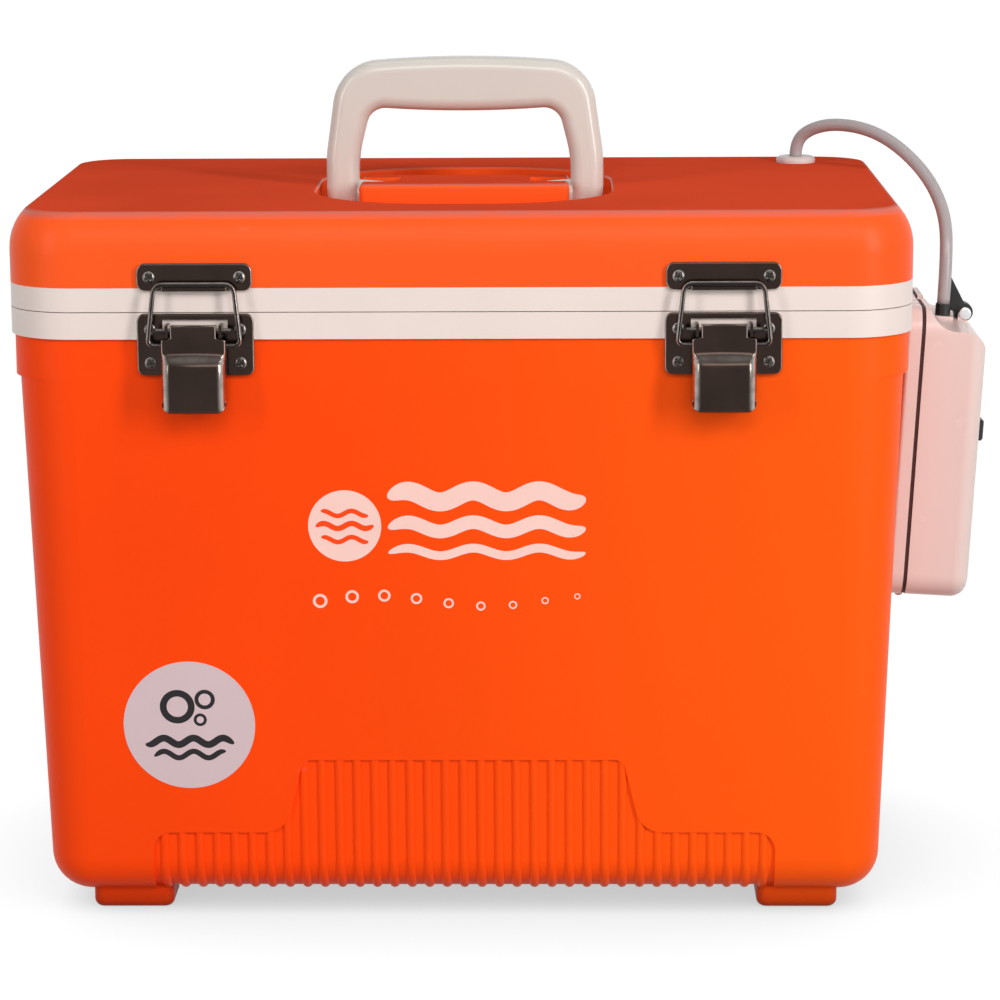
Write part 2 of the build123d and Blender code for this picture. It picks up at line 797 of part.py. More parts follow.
def latch_base():
    """Plate on the tub with a window and two lugs for the lever's pin."""
    plate = plate_at_front(
        latch_base_half_x, base_low, base_top, latch_base_thickness, latch_base_radius
    )
    plate = fillet(plate.edges().group_by(Axis.Y)[0], latch_base_edge_radius)
    window_top = base_top - window_drop
    window_low = window_top - window_height
    plate -= span_box(
        (-window_half_x, base_front, window_low), (window_half_x, front_y, window_top)
    )
    for side in (-1, 1):
        near, far = sorted((side * lug_inner_x, side * (lug_inner_x + lug_thickness)))
        plate += span_box(
            (near, latch_pivot_y - lug_overhang, latch_pivot_z - lug_half_height),
            (far, front_y, latch_pivot_z + lug_half_height),
        )
    return plate - rod_x(
        latch_pin_radius, -latch_pin_half, latch_pin_half, latch_pivot_y, latch_pivot_z
    )


def latch_lever():
    """Sheet lever: barrel on the pin, flat neck, side flanges and a domed thumb cup."""
    barrel_radius = latch_pin_radius + running_clearance + barrel_wall
    sheet_front = latch_pivot_y - barrel_radius - lever_sheet / 2
    sheet_back = sheet_front + lever_sheet
    wide_top = latch_pivot_z - neck_drop
    cup_top = latch_pivot_z - cup_top_drop
    cup_low = latch_pivot_z - lever_length
    lever = rod_x(barrel_radius, -neck_half_x, neck_half_x, latch_pivot_y, latch_pivot_z)
    lever += span_box(
        (-neck_half_x, sheet_front, wide_top - lever_sheet),
        (neck_half_x, sheet_back, latch_pivot_z + neck_rise),
    )
    cup = span_box(
        (-lever_half_x, latch_pivot_y - cup_out, cup_low),
        (lever_half_x, latch_pivot_y + cup_in, cup_top),
    )
    cup = fillet(cup.edges().group_by(Axis.Y)[0], cup_edge_radius)
    inner = span_box(
        (-lever_half_x + lever_sheet, latch_pivot_y - cup_out + lever_sheet, cup_low + lever_sheet),
        (lever_half_x - lever_sheet, latch_pivot_y + cup_in, cup_top - lever_sheet),
    )
    inner = fillet(inner.edges().group_by(Axis.Y)[0], cup_edge_radius - lever_sheet)
    lever += cup - inner
    lever += span_box(
        (-lever_half_x, sheet_front, cup_top - lever_sheet), (lever_half_x, sheet_back, wide_top)
    )
    for side in (-1, 1):
        near, far = sorted((side * (lever_half_x - lever_sheet), side * lever_half_x))
        lever += span_box(
            (near, sheet_front, cup_top - lever_sheet), (far, latch_pivot_y + cup_in, wide_top)
        )
    pin_bore = latch_pin_radius + running_clearance
    lever -= rod_x(pin_bore, -latch_pin_half, latch_pin_half, latch_pivot_y, latch_pivot_z)
    toe_bore = bail_wire_radius + running_clearance
    toe_half = lever_half_x + cut_over
    return lever - rod_x(toe_bore, -toe_half, toe_half, bail_pivot_y, bail_pivot_z)


def latch_bail():
    """Wire bail from the lever's flanges up to its bar in front of the keeper's nose."""
    toe = lever_half_x - lever_sheet - bail_toe_gap
    corners = [
        (-toe, bail_pivot_y, bail_pivot_z),
        (-bail_foot_half, bail_pivot_y, bail_pivot_z),
        (-bail_top_half, bail_bar_y, bail_bar_z),
        (bail_top_half, bail_bar_y, bail_bar_z),
        (bail_foot_half, bail_pivot_y, bail_pivot_z),
        (toe, bail_pivot_y, bail_pivot_z),
    ]
    bends = [bail_foot_bend, bail_top_bend, bail_top_bend, bail_foot_bend]
    wire = FilletPolyline(*corners, radius=bends)
    return sweep(Plane(wire @ 0, z_dir=wire % 0) * Circle(bail_wire_radius), wire)


for side, name in ((-1, "left"), (1, "right")):
    place = Pos(side * latch_center_x, 0, 0)
    keeper = place * latch_keeper()
    base = place * latch_base()
    for screw_x in (-keeper_screw_x, keeper_screw_x):
        head_z = keeper_low + keeper_height / 2
        seat = place * facing_front(screw_x, front_y - keeper_thickness, head_z)
        keeper_screws.append(screw(seat, keeper_grip))
        keeper -= screw_hole(seat, keeper_grip)
        lid -= screw_hole(seat, keeper_grip)
    for screw_z in (base_low + base_screw_rise, base_top - base_screw_drop):
        for screw_x in (-base_screw_x, base_screw_x):
            seat = place * facing_front(screw_x, base_front, screw_z)
            base_screws.append(screw(seat, base_grip))
            base -= screw_hole(seat, base_grip)
            shell -= screw_hole(seat, base_grip)
            liner -= screw_hole(seat, base_grip)
    parts[f"latch_keeper_{name}"] = keeper
    parts[f"latch_base_{name}"] = base
    parts[f"latch_lever_{name}"] = place * latch_lever()
    parts[f"latch_bail_{name}"] = place * latch_bail()
    parts[f"latch_pin_{name}"] = place * rod_x(
        latch_pin_radius, -latch_pin_half, latch_pin_half, latch_pivot_y, latch_pivot_z
    )
parts["keeper_screws"] = Compound(keeper_screws)
parts["latch_base_screws"] = Compound(base_screws)

# ---------------------------------------------------------------- rear hinges
hinge_y = half_y + hinge_stand_off + hinge_knuckle_radius
hinge_z = z_rim + seam_gap / 2
hinge_bore = hinge_pin_radius + running_clearance
knuckle_pitch = hinge_length / hinge_knuckle_count
knuckle_length = knuckle_pitch - hinge_knuckle_gap
leaf_back_y = half_y + hinge_leaf_thickness
tub_leaf_grip = hinge_leaf_thickness + collar_inset + shell_wall
lid_leaf_grip = hinge_leaf_thickness + lid_shell_wall


def hinge_leaf(up, first):
    """Leaf plate on the back, upward or downward from the axis, with every second knuckle."""
    height = lid_leaf_height if up else tub_leaf_height
    direction = 1 if up else -1
    low, high = sorted((hinge_z + direction * leaf_gap, hinge_z + direction * (leaf_gap + height)))
    leaf = span_box((-hinge_length / 2, half_y, low), (hinge_length / 2, leaf_back_y, high))
    for index in range(first, hinge_knuckle_count, 2):
        start = -hinge_length / 2 + index * knuckle_pitch + hinge_knuckle_gap / 2
        stop = start + knuckle_length
        leaf += rod_x(hinge_knuckle_radius, start, stop, hinge_y, hinge_z)
        low, high = sorted((hinge_z, hinge_z + direction * (leaf_gap + hinge_leaf_thickness)))
        leaf += span_box((start, half_y + hinge_stand_off, low), (stop, leaf_back_y, high))
    return leaf - rod_x(hinge_bore, -hinge_length, hinge_length, hinge_y, hinge_z)


tub_leaf_screws = []
lid_leaf_screws = []
screw_row_x = (-leaf_screw_pitch, 0, leaf_screw_pitch)
for side, name in ((-1, "left"), (1, "right")):
    place = Pos(side * hinge_center_x, 0, 0)
    tub_leaf = place * hinge_leaf(False, 0)
    lid_leaf = place * hinge_leaf(True, 1)
    for screw_x in screw_row_x:
        seat = place * facing_back(screw_x, leaf_back_y, hinge_z - tub_leaf_screw_drop)
        tub_leaf_screws.append(screw(seat, tub_leaf_grip))
        tub_leaf -= screw_hole(seat, tub_leaf_grip)
        shell -= screw_hole(seat, tub_leaf_grip)
        seat = place * facing_back(screw_x, leaf_back_y, hinge_z + lid_leaf_screw_rise)
        lid_leaf_screws.append(screw(seat, lid_leaf_grip))
        lid_leaf -= screw_hole(seat, lid_leaf_grip)
        lid -= screw_hole(seat, lid_leaf_grip)
    pin = rod_x(hinge_pin_radius, -hinge_length / 2, hinge_length / 2, hinge_y, hinge_z)
    for end in (-1, 1):
        near, far = sorted((end * hinge_length / 2, end * (hinge_length / 2 + hinge_pin_head)))
        pin += rod_x(hinge_pin_head_radius, near, far, hinge_y, hinge_z)
    parts[f"hinge_leaf_tub_{name}"] = tub_leaf
    parts[f"hinge_leaf_lid_{name}"] = lid_leaf
    parts[f"hinge_pin_{name}"] = place * pin
parts["hinge_screws_tub"] = Compound(tub_leaf_screws)
parts["hinge_screws_lid"] = Compound(lid_leaf_screws)

# ---------------------------------------------------------------- pump bracket
bracket = wedge(
    bracket_low_z,
    bracket_high_z,
    side_wall_x(bracket_low_z),
    side_wall_x(bracket_high_z),
    bracket_half_y,
)
bracket_screws = []
bracket_grip = bracket_web + shell_wall
head_room_radius = screw_head_radius + screw_hole_clearance
for screw_z in (bracket_low_z + bracket_screw_inset, bracket_high_z - bracket_screw_inset):
    for screw_y in (-bracket_screw_y, bracket_screw_y):
        seat = Pos(side_wall_x(screw_z) + bracket_web, screw_y, screw_z) * Rot(0, 90 + wall_draft, 0)
        bracket_screws.append(screw(seat, bracket_grip))
        hole = screw_hole(seat, bracket_grip)
        bracket -= hole
        shell -= hole
        bracket -= seat * Pos(0, 0, head_room_depth / 2) * Cylinder(head_room_radius, head_room_depth)
parts["bracket_screws"] = Compound(bracket_screws)


# ---------------------------------------------------------------- air pump case
def pump_block(inset, low_u, high_u):
    """Block with the case outline, set inward, between two distances from the seam."""
    outline = RectangleRounded(
        pump_width - 2 * inset, pump_height - 2 * inset, pump_corner_radius - inset
    )
    face = Pos(low_u, 0, pump_height / 2) * (Plane.YZ * outline)
    return extrude(face, high_u - low_u)


def shelf_cutter(offset):
    """Region above the cover's stepped top, grown inward by `offset`."""
    neck = (shelf_neck - offset, pump_height - offset)
    shelf = (shelf_inner - offset, shelf_top - offset)
    corner = (pump_cover_depth - shelf_outer_radius - offset, shelf_top - offset)
    face_end = (pump_cover_depth - offset, shelf_top - shelf_outer_radius - offset)
    outside = pump_cover_depth + pump_height
    rise = pump_height - shelf_top
    sag_point = (
        shelf_neck + (shelf_inner - shelf_neck) * (1 - cos(radians(45))) - offset,
        shelf_top + rise * (1 - sin(radians(45))) - offset,
    )
    round_point = (
        pump_cover_depth - shelf_outer_radius * (1 - sin(radians(45))) - offset,
        shelf_top - shelf_outer_radius * (1 - cos(radians(45))) - offset,
    )
    outline = Polyline(
        face_end,
        (outside, face_end[1]),
        (outside, pump_height + outside),
        (neck[0], pump_height + outside),
        neck,
    )
    outline += ThreePointArc(neck, sag_point, shelf)
    outline += Line(shelf, corner)
    outline += ThreePointArc(corner, round_point, face_end)
    return extrude(Plane.XZ * make_face(outline), pump_width, both=True)


cover = pump_block(0, pump_gasket_front, pump_cover_depth)
cover = fillet(cover.edges().group_by(Axis.X)[-1], pump_edge_radius)
cover -= shelf_cutter(0)
cover_hollow = pump_block(pump_wall, pump_gasket_front, pump_cover_depth - pump_wall)
cover_hollow = fillet(cover_hollow.edges().group_by(Axis.X)[-1], pump_edge_radius - pump_wall)
cover -= cover_hollow - shelf_cutter(pump_wall)
notch_half = arm_half_width + arm_clearance
notch_floor = arm_bottom - arm_clearance
cover -= span_box(
    (0, -notch_half, notch_floor), (arm_reach + arm_clearance, notch_half, pump_height)
)
slot_half = switch_stem / 2 + switch_slot_clearance
slot_rise = switch_stem / 2 + switch_travel + switch_slot_clearance
cover -= span_box(
    (pump_cover_depth - pump_wall - cut_over, switch_y - slot_half, switch_height - slot_rise),
    (pump_cover_depth, switch_y + slot_half, switch_height + slot_rise),
)
back = pump_block(0, -pump_back_depth, -pump_gasket_back)
back = fillet(back.edges().group_by(Axis.X)[0], pump_back_edge_radius)
back -= pump_block(pump_wall, pump_wall - pump_back_depth, -pump_gasket_back)
arm = span_box((-pump_back_depth, -arm_half_width, arm_bottom), (arm_reach, arm_half_width, arm_top))
seal = pump_block(case_gasket_inset, -pump_gasket_back, pump_gasket_front)
seal -= pump_block(pump_wall, -pump_gasket_back, pump_gasket_front)
seal -= span_box(
    (-pump_gasket_back, -notch_half, notch_floor), (pump_gasket_front, notch_half, pump_height)
)

# Knuckles of the cover's hinge hang under the seam; the back shell carries the outer two.
knuckle_w = -case_knuckle_radius - case_knuckle_drop
case_bore = case_pin_radius + running_clearance
case_step = case_knuckle_length + case_knuckle_gap
pin_half = case_knuckle_count * case_step / 2
for index in range(case_knuckle_count):
    low_y = index * case_step + case_knuckle_gap / 2 - pin_half
    high_y = low_y + case_knuckle_length
    knuckle = rod_y(case_knuckle_radius, low_y, high_y, 0, knuckle_w)
    if index % 2:
        root = span_box((0, low_y, knuckle_w), (case_knuckle_radius, high_y, 0))
        foot = span_box(
            (pump_gasket_front, low_y, knuckle_w), (case_knuckle_foot, high_y, pump_wall)
        )
        cover += knuckle + root + foot
    else:
        root = span_box((-case_knuckle_radius, low_y, knuckle_w), (0, high_y, 0))
        foot = span_box(
            (-case_knuckle_foot, low_y, knuckle_w), (-pump_gasket_back, high_y, pump_wall)
        )
        back += knuckle + root + foot
bore = rod_y(case_bore, -pin_half - cut_over, pin_half + cut_over, 0, knuckle_w)
cover -= bore
back -= bore
case_pin = rod_y(case_pin_radius, -pin_half, pin_half, 0, knuckle_w)

# Nozzle post through the back shell's arm, down to the air chamber.
back += arm
back -= rod_z(nozzle_stem_radius, arm_bottom, arm_top, nozzle_out, 0)
battery_base = chassis_low + shelf_thickness + contact_thickness + spring_height
battery_top = battery_base + battery_length
deck_low = battery_top + battery_cap_height + contact_thickness
deck_top = deck_low + shelf_thickness
air_chamber_top = deck_top + air_chamber_height
nozzle = rod_z(nozzle_radius, arm_top, nozzle_top, nozzle_out, 0)
nozzle += rod_z(nozzle_stem_radius, air_chamber_top, arm_top, nozzle_out, 0)

# Catch: a chromed bar held by two ears on the cover's shelf, and the black lever round it.
for low_y, high_y in (
    (catch_low_y, catch_low_y + catch_ear),
    (catch_high_y - catch_ear, catch_high_y),
):
    cover += span_box(
        (catch_out - catch_radius, low_y, shelf_top - pump_wall),
        (catch_out + catch_ear_out, high_y, catch_height),
    )
cover -= rod_y(catch_radius, catch_low_y, catch_high_y, catch_out, catch_height)
cover -= rod_y(
    catch_hub_radius + catch_groove_clearance,
    catch_hub_low_y - catch_groove_clearance,
    catch_hub_high_y + catch_groove_clearance,
    catch_out,
    catch_height,
)
catch_bar = rod_y(catch_radius, catch_low_y, catch_high_y, catch_out, catch_height)
catch_bar = fillet(catch_bar.edges().filter_by(GeomType.CIRCLE), catch_edge_radius)
wedge_points = [
    (catch_apex_out, catch_apex_height),
    (catch_apex_out + catch_apex_width, catch_apex_height),
    (catch_out, catch_height + catch_hub_radius),
    (catch_out, catch_height),
    (catch_out - catch_hub_radius, catch_height),
    (catch_apex_out, catch_heel_height),
]
catch_plate = Pos(0, catch_hub_high_y, 0) * (Plane.XZ * make_face(Polyline(*wedge_points, close=True)))
catch_lever = extrude(catch_plate, catch_hub_high_y - catch_hub_low_y)
catch_lever += rod_y(catch_hub_radius, catch_hub_low_y, catch_hub_high_y, catch_out, catch_height)
catch_lever -= rod_y(
    catch_radius + running_clearance, catch_low_y, catch_high_y, catch_out, catch_height
)

# Slide switch on the outer face, its stem through a slot to a keeper plate behind the wall.
knob_low_u = pump_cover_depth + switch_slot_clearance / 2
knob_half_y = switch_knob_width / 2
knob_half_z = switch_knob_length / 2
knob = span_box(
    (knob_low_u, switch_y - knob_half_y, switch_height - knob_half_z),
    (pump_cover_depth + switch_knob_proud, switch_y + knob_half_y, switch_height + knob_half_z),
)
knob = chamfer(knob.edges().group_by(Axis.X)[-1], switch_knob_chamfer)
plate_high_u = pump_cover_depth - pump_wall - switch_slot_clearance / 2
plate_low_u = plate_high_u - switch_plate_thickness
plate_half = slot_rise + switch_travel
stem_half = switch_stem / 2
switch = knob + span_box(
    (plate_low_u, switch_y - knob_half_y, switch_height - plate_half),
    (plate_high_u, switch_y + knob_half_y, switch_height + plate_half),
)
switch += span_box(
    (plate_high_u, switch_y - stem_half, switch_height - stem_half),
    (knob_low_u, switch_y + stem_half, switch_height + stem_half),
)

# Chassis, cells, contacts, motor and air chamber, all carried by the back shell.
chassis_back = pump_wall - pump_back_depth
chassis = span_box(
    (chassis_back, -chassis_half_width, chassis_low),
    (chassis_reach, chassis_half_width, chassis_low + shelf_thickness),
)
chassis += span_box(
    (chassis_back, -chassis_half_width, deck_low), (chassis_reach, chassis_half_width, deck_top)
)
cells = []
springs = []
lower_contacts = []
for side in (-1, 1):
    near, far = sorted((side * (chassis_half_width - chassis_post), side * chassis_half_width))
    chassis += span_box((chassis_back, near, chassis_low), (battery_out, far, deck_top))
    cell_y = side * (battery_radius + battery_gap / 2)
    cell = rod_z(battery_radius, battery_base, battery_top, battery_out, cell_y)
    cell = fillet(cell.edges().filter_by(GeomType.CIRCLE), battery_edge_radius)
    cell += rod_z(
        battery_cap_radius, battery_top, battery_top + battery_cap_height, battery_out, cell_y
    )
    cells.append(cell)
    disc_top = battery_base - spring_height
    disc_low = disc_top - contact_thickness
    lower_contacts.append(rod_z(contact_radius, disc_low, disc_top, battery_out, cell_y))
    springs.append(rod_z(spring_radius, disc_top, battery_base, battery_out, cell_y))
bridge_contact = span_box(
    (battery_out - contact_radius, -contact_half_span, battery_top + battery_cap_height),
    (battery_out + contact_radius, contact_half_span, deck_low),
)
motor_top = deck_top + motor_length
crank_low = motor_top + crank_gap
crank_top = crank_low + crank_thickness
link_low = crank_top + link_gap
link_top = link_low + link_thickness
motor = rod_z(motor_radius, deck_top, motor_top, motor_out, motor_y)
motor -= rod_z(
    motor_shaft_radius + running_clearance, motor_top - motor_bore_depth, motor_top, motor_out, motor_y
)
crank = rod_z(motor_shaft_radius, motor_top - motor_bore_depth, crank_low, motor_out, motor_y)
crank += rod_z(crank_radius, crank_low, crank_top, motor_out, motor_y)
crank += rod_z(crank_pin_radius, crank_top, link_top, motor_out, motor_y - crank_throw)
air_chamber_face_y = air_chamber_y - air_chamber_width / 2
air_chamber = span_box(
    (air_chamber_out - air_chamber_depth / 2, air_chamber_face_y, deck_top),
    (air_chamber_out + air_chamber_depth / 2, air_chamber_y + air_chamber_width / 2, air_chamber_top),
)
diaphragm_y = air_chamber_face_y - diaphragm_thickness
diaphragm = rod_y(
    diaphragm_radius, diaphragm_y, air_chamber_face_y, motor_out, link_top - diaphragm_radius
)
eye_bore = crank_throw + crank_pin_radius + link_eye_clearance
link = span_box(
    (motor_out - link_width / 2, motor_y, link_low),
    (motor_out + link_width / 2, diaphragm_y, link_top),
)
link += rod_z(eye_bore + link_eye_wall, link_low, link_top, motor_out, motor_y)
link -= rod_z(eye_bore, link_low, link_top, motor_out, motor_y)

for name, shape in {
    "pump_cover": cover,
    "pump_back_shell": back,
    "case_gasket": seal,
    "case_hinge_pin": case_pin,
    "hose_nozzle": nozzle,
    "catch_bar": catch_bar,
    "catch_lever": catch_lever,
    "power_switch": switch,
    "pump_chassis": chassis,
    "batteries": Compound(cells),
    "battery_springs": Compound(springs),
    "battery_contacts": Compound([*lower_contacts, bridge_contact]),
    "motor": motor,
    "motor_crank": crank,
    "crank_link": link,
    "diaphragm": diaphragm,
    "air_chamber": air_chamber,
}.items():
    parts[name] = pump_frame * shape
parts["pump_bracket"] = bracket
parts["tub_shell"] = shell
parts["tub_liner"] = liner
parts["lid_shell"] = lid
parts["lid_liner"] = lid_liner


# ---------------------------------------------------------------- air stone and hoses
stone = rod_z(stone_radius, z_floor, z_floor + stone_length, stone_x, stone_y)
stone = fillet(stone.edges().filter_by(GeomType.CIRCLE), stone_edge_radius)
barb_low = z_floor + stone_length
barb_top = barb_low + stone_barb_height
parts["air_stone"] = stone + rod_z(stone_barb_radius, barb_low, barb_top, stone_x, stone_y)


def hose(name, points):
    """Tube of straight runs joined by arcs as large as the runs allow."""
    spots = [Vector(*p) for p in points]
    runs = [b - a for a, b in zip(spots, spots[1:])]
    radii = []
    for before, after in zip(runs, runs[1:]):
        half_turn = radians(before.get_angle(after)) / 2
        radii.append(bend_share * min(before.length, after.length) / tan(half_turn))
    route = FilletPolyline(*spots, radius=radii)
    tube = sweep(Plane(route @ 0, z_dir=route % 0) * Circle(hose_radius), route)
    section = Circle(hose_radius).area
    print(name, "radii", [round(r, 1) for r in radii], "length", round(route.length, 1))
    print(name, "volume over section times length", round(tube.volume / section / route.length, 5))
    return tube


nozzle_end = (pump_frame * Pos(nozzle_out, 0, nozzle_top)).position
nozzle_axis = Vector(sin(lean_radians), 0, cos(lean_radians))
parts["hose_outer"] = hose(
    "hose_outer",
    [
        tuple(nozzle_end),
        tuple(nozzle_end + nozzle_axis * outer_hose_first_run),
        *outer_hose_points,
        (grommet_x, grommet_y, grommet_top + outer_hose_last_run),
        (grommet_x, grommet_y, grommet_top),
    ],
)
parts["hose_inner"] = hose(
    "hose_inner",
    [
        (grommet_x, grommet_y, stem_low),
        (grommet_x, grommet_y, stem_low - inner_hose_first_run),
        *inner_hose_points,
        (stone_x, stone_y, barb_top + inner_hose_last_run),
        (stone_x, stone_y, barb_top),
    ],
)

# ---------------------------------------------------------------- common origin and export
hose_names = ("hose_outer", "hose_inner")
rigid = [shape for name, shape in parts.items() if name not in hose_names]
extent = Compound(children=[Compound(shape.solids()) for shape in rigid]).bounding_box()
origin_shift = Pos(-extent.center().X, -extent.center().Y, -extent.min.Z)
os.makedirs("parts", exist_ok=True)
for name, shape in parts.items():
    placed = origin_shift * Compound(shape.solids())
    solids = placed.solids()
    export_step(solids[0] if len(solids) == 1 else Compound(solids), f"parts/{name}.step")
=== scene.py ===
"""Looks of an insulated live-bait bucket with a battery air pump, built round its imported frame.

Sizes are in metres.  Places on the tub are given from the middle of its rim band, which the frame
holds a little to the left of the object's own middle, because the pump stands out on the right.
"""

import bmesh
import bpy
import numpy as np
from bpy.props import FloatProperty, FloatVectorProperty, IntProperty, PointerProperty
from bpy.types import Operator, Panel, PropertyGroup
from mathutils import Matrix, Vector


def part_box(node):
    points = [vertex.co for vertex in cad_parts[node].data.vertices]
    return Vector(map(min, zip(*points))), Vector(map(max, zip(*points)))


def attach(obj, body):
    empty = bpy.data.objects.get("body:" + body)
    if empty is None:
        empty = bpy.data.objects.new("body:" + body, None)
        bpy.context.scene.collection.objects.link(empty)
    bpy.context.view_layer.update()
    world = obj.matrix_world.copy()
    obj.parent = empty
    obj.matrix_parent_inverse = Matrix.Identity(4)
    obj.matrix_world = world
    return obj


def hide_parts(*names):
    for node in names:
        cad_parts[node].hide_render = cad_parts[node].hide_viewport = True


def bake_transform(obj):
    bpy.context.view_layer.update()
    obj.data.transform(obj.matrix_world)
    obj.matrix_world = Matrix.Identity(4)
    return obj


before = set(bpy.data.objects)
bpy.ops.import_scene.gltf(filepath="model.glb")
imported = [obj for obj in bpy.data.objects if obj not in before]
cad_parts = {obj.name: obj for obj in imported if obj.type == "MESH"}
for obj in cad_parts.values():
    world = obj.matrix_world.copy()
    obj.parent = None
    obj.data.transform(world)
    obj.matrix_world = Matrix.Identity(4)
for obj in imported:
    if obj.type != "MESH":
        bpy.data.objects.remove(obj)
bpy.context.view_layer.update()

bl_info = {
    "name": "Bait Bucket",
    "version": (1, 0, 0),
    "blender": (4, 5, 0),
    "location": "View3D > Sidebar > Bait Bucket",
    "description": "Dresses the frame of an aerated bait bucket with its finishes and soft pieces",
    "category": "Object",
}

MM = 0.001
SIDES = ("left", "right")


def node_box(node):
    """Lowest and highest corner of a node at rest."""
    low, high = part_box(node)
    return np.array(low), np.array(high)


RIM_LOW, RIM_HIGH = node_box("tub_liner")
TUB_X = (RIM_LOW[0] + RIM_HIGH[0]) / 2
TUB_Y = (RIM_LOW[1] + RIM_HIGH[1]) / 2
TUB_ORIGIN = np.array([TUB_X, TUB_Y, 0.0])

# Front wall of the tub, which leans in below its collar.
WALL_DRAFT = np.tan(np.radians(2.0))
COLLAR_Z = 259.8 * MM
FRONT_AT_COLLAR = RIM_LOW[1] + 1.6 * MM

# Control points of the two hoses, from the middle of the tub.
OUTER_HOSE = np.array([
    (234.50, 0.0, 276.81),
    (235.86, 0.0, 300.47),
    (236.0, 13.0, 319.5),
    (229.5, 31.0, 335.5),
    (216.5, 49.5, 349.0),
    (202.5, 63.5, 356.5),
    (186.0, 77.5, 358.3),
    (173.5, 87.2, 354.5),
    (167.0, 91.0, 347.5),
    (167.0, 91.0, 340.5),
]) * MM + TUB_ORIGIN
INNER_HOSE = np.array([
    (167.0, 91.0, 285.0),
    (167.0, 91.0, 261.0),
    (161.5, 82.0, 239.0),
    (165.0, 68.0, 217.0),
    (171.0, 58.0, 192.0),
    (168.0, 50.0, 166.0),
    (158.0, 46.0, 143.0),
    (154.0, 44.0, 117.0),
    (148.0, 40.0, 92.0),
    (148.0, 40.0, 70.0),
]) * MM + TUB_ORIGIN
HOSE_RESOLUTION = 12

# Pressed sheet of a latch lever.  A drop is a depth below its top edge.
LEVER_SHEET = 1.3 * MM
LEVER_STEPS = 140
LEVER_RESOLUTION = 10
FOLD_STEPS = 9
NECK_DROP = 1.4 * MM
NECK_INSET = 4.9 * MM
NECK_HALF_WIDTH = 10.5 * MM
NECK_DEPTH = 1.7 * MM
SHOULDER_WIDTH = 4.2 * MM
SHOULDER_DROPS = (7.0 * MM, 8.0 * MM)
LUG_DROPS = (8.0 * MM, 8.8 * MM)
CUP_DROP = 14.4 * MM
CUP_INSET = 0.5 * MM
CUP_DROPS = (13.5 * MM, 17.5 * MM)
CUP_BEND = 4.0 * MM
CUP_CROWN = 0.5 * MM
FLOOR_RUNS = (14.5 * MM, 9.5 * MM)
FLOOR_BEND = 3.0 * MM
FLOOR_DEPTH = 4.6 * MM
FLOOR_TAPER = 0.15 * MM
EDGE_BEND = 0.9 * MM
LEAST_BEND = 0.1 * MM
BARREL_RADIUS = 2.9 * MM
BARREL_HALF_LENGTH = 10.4 * MM
BARREL_STEPS = 40
PIN_INSET = 4.6 * MM
PIN_DROP = 4.2 * MM

# Domed screws of the latch plates.  The cross fades out between two half widths and two reaches.
SCREW_HEAD = 2.9 * MM
SCREW_UNDERSIDE = 2.6 * MM
SCREW_SHANK = 1.7 * MM
SCREW_RISE = 1.5 * MM
SCREW_RINGS = 30
SCREW_STEPS = 96
SCREW_GAP = 0.01 * MM
CROSS_WIDTHS = (0.26 * MM, 0.46 * MM)
CROSS_REACHES = (1.4 * MM, 1.9 * MM)
CROSS_DEPTH = 0.8 * MM
CROSS_TURNS = np.array([40.0, 120.0])  # radians for each metre of x and of z
DOME_SHARES = (0.55, 0.25)  # of the rise: a dome over all of the head, and a round edge

# Prints on the front wall.  Plain lengths are in millimetres, phases and turns in radians.
PRINT_SINK = -0.02 * MM
WAVE_STEPS = 160
WAVE_TAPER = 0.12
FRONT_WAVE_SPAN = (-34.0, 58.0)
FRONT_WAVE_PITCH = 30.7
FRONT_WAVE_PHASE = 0.4
FRONT_WAVES = ((205.0, 9.0, 2.6), (190.5, 6.5, 2.2), (178.5, 4.2, 1.8))  # level, width, height
DISC = (-54.0, 191.0, 17.0)  # x, z, radius
DISC_WAVE_PITCH = 13.0
DISC_WAVE_HEIGHT = 1.2
DISC_WAVES = ((197.0, 11.0, 2.2), (191.0, 13.5, 2.6), (184.5, 11.0, 2.2))  # level, half span, width
RING_COUNT = 9
RING_FIRST = (-66.0, 155.0)  # x, z
RING_SPACING = 15.0
RING_SWAY = 2.6
RING_SWAY_TURN = 0.9
RING_RADIUS = 3.4
RING_SHRINKAGE = 0.24
RING_HOLE = 0.62  # share of the radius
STICKER = (-128.7, 94.7)  # x, z
STICKER_PAPER = 0.15 * MM
STICKER_INK = 0.04 * MM
STICKER_WAVE_PITCH = 14.0
STICKER_WAVE_PHASE = 0.8
STICKER_WAVE_HEIGHT = 1.6
STICKER_WAVES = ((-8.0, 21.0, 3.4), (-14.5, 17.0, 2.6))  # level, half span, width
BUBBLES = ((-5.5, 9.0, 8.2, 5.0), (7.5, 12.5, 4.8, 2.9), (5.2, 2.6, 3.1, 1.7))  # x, z, two radii

# Stage, in metres, watts and radians, with the lens in millimetres.
FLOOR_HALF = 14.0
FLOOR_GREY = 0.36  # as the bucket sees it
SHADE_REACH = 0.16
SHADE_STEP = (-0.35, 0.92)
SHADED_FLOOR = 0.45
OPEN_FLOOR = 1.03
SKY_SIDE = 0.46
SKY_TOP = 0.20
LAMP_AIM = Vector((0.0, 0.0, 0.2))
LAMPS = (  # name, place, width, height, power
    ("lamp_left", (-1.45, -1.35, 0.85), 0.30, 1.3, 10.0),
    ("lamp_right", (1.45, -1.35, 0.85), 0.30, 1.3, 23.5),
    ("lamp_front", (0.3, -2.3, 1.9), 1.8, 0.9, 25.0),
    ("lamp_top", (0.0, 0.3, 2.0), 1.0, 0.6, 2.0),
)
CAMERA_PLACE = (27.70 * MM, -1753.91 * MM, 529.49 * MM)
CAMERA_YAW, CAMERA_PITCH, CAMERA_ROLL = -0.01857, 0.19688, -0.00535
CAMERA_LENS = 129.6
CAMERA_SENSOR = 36.0
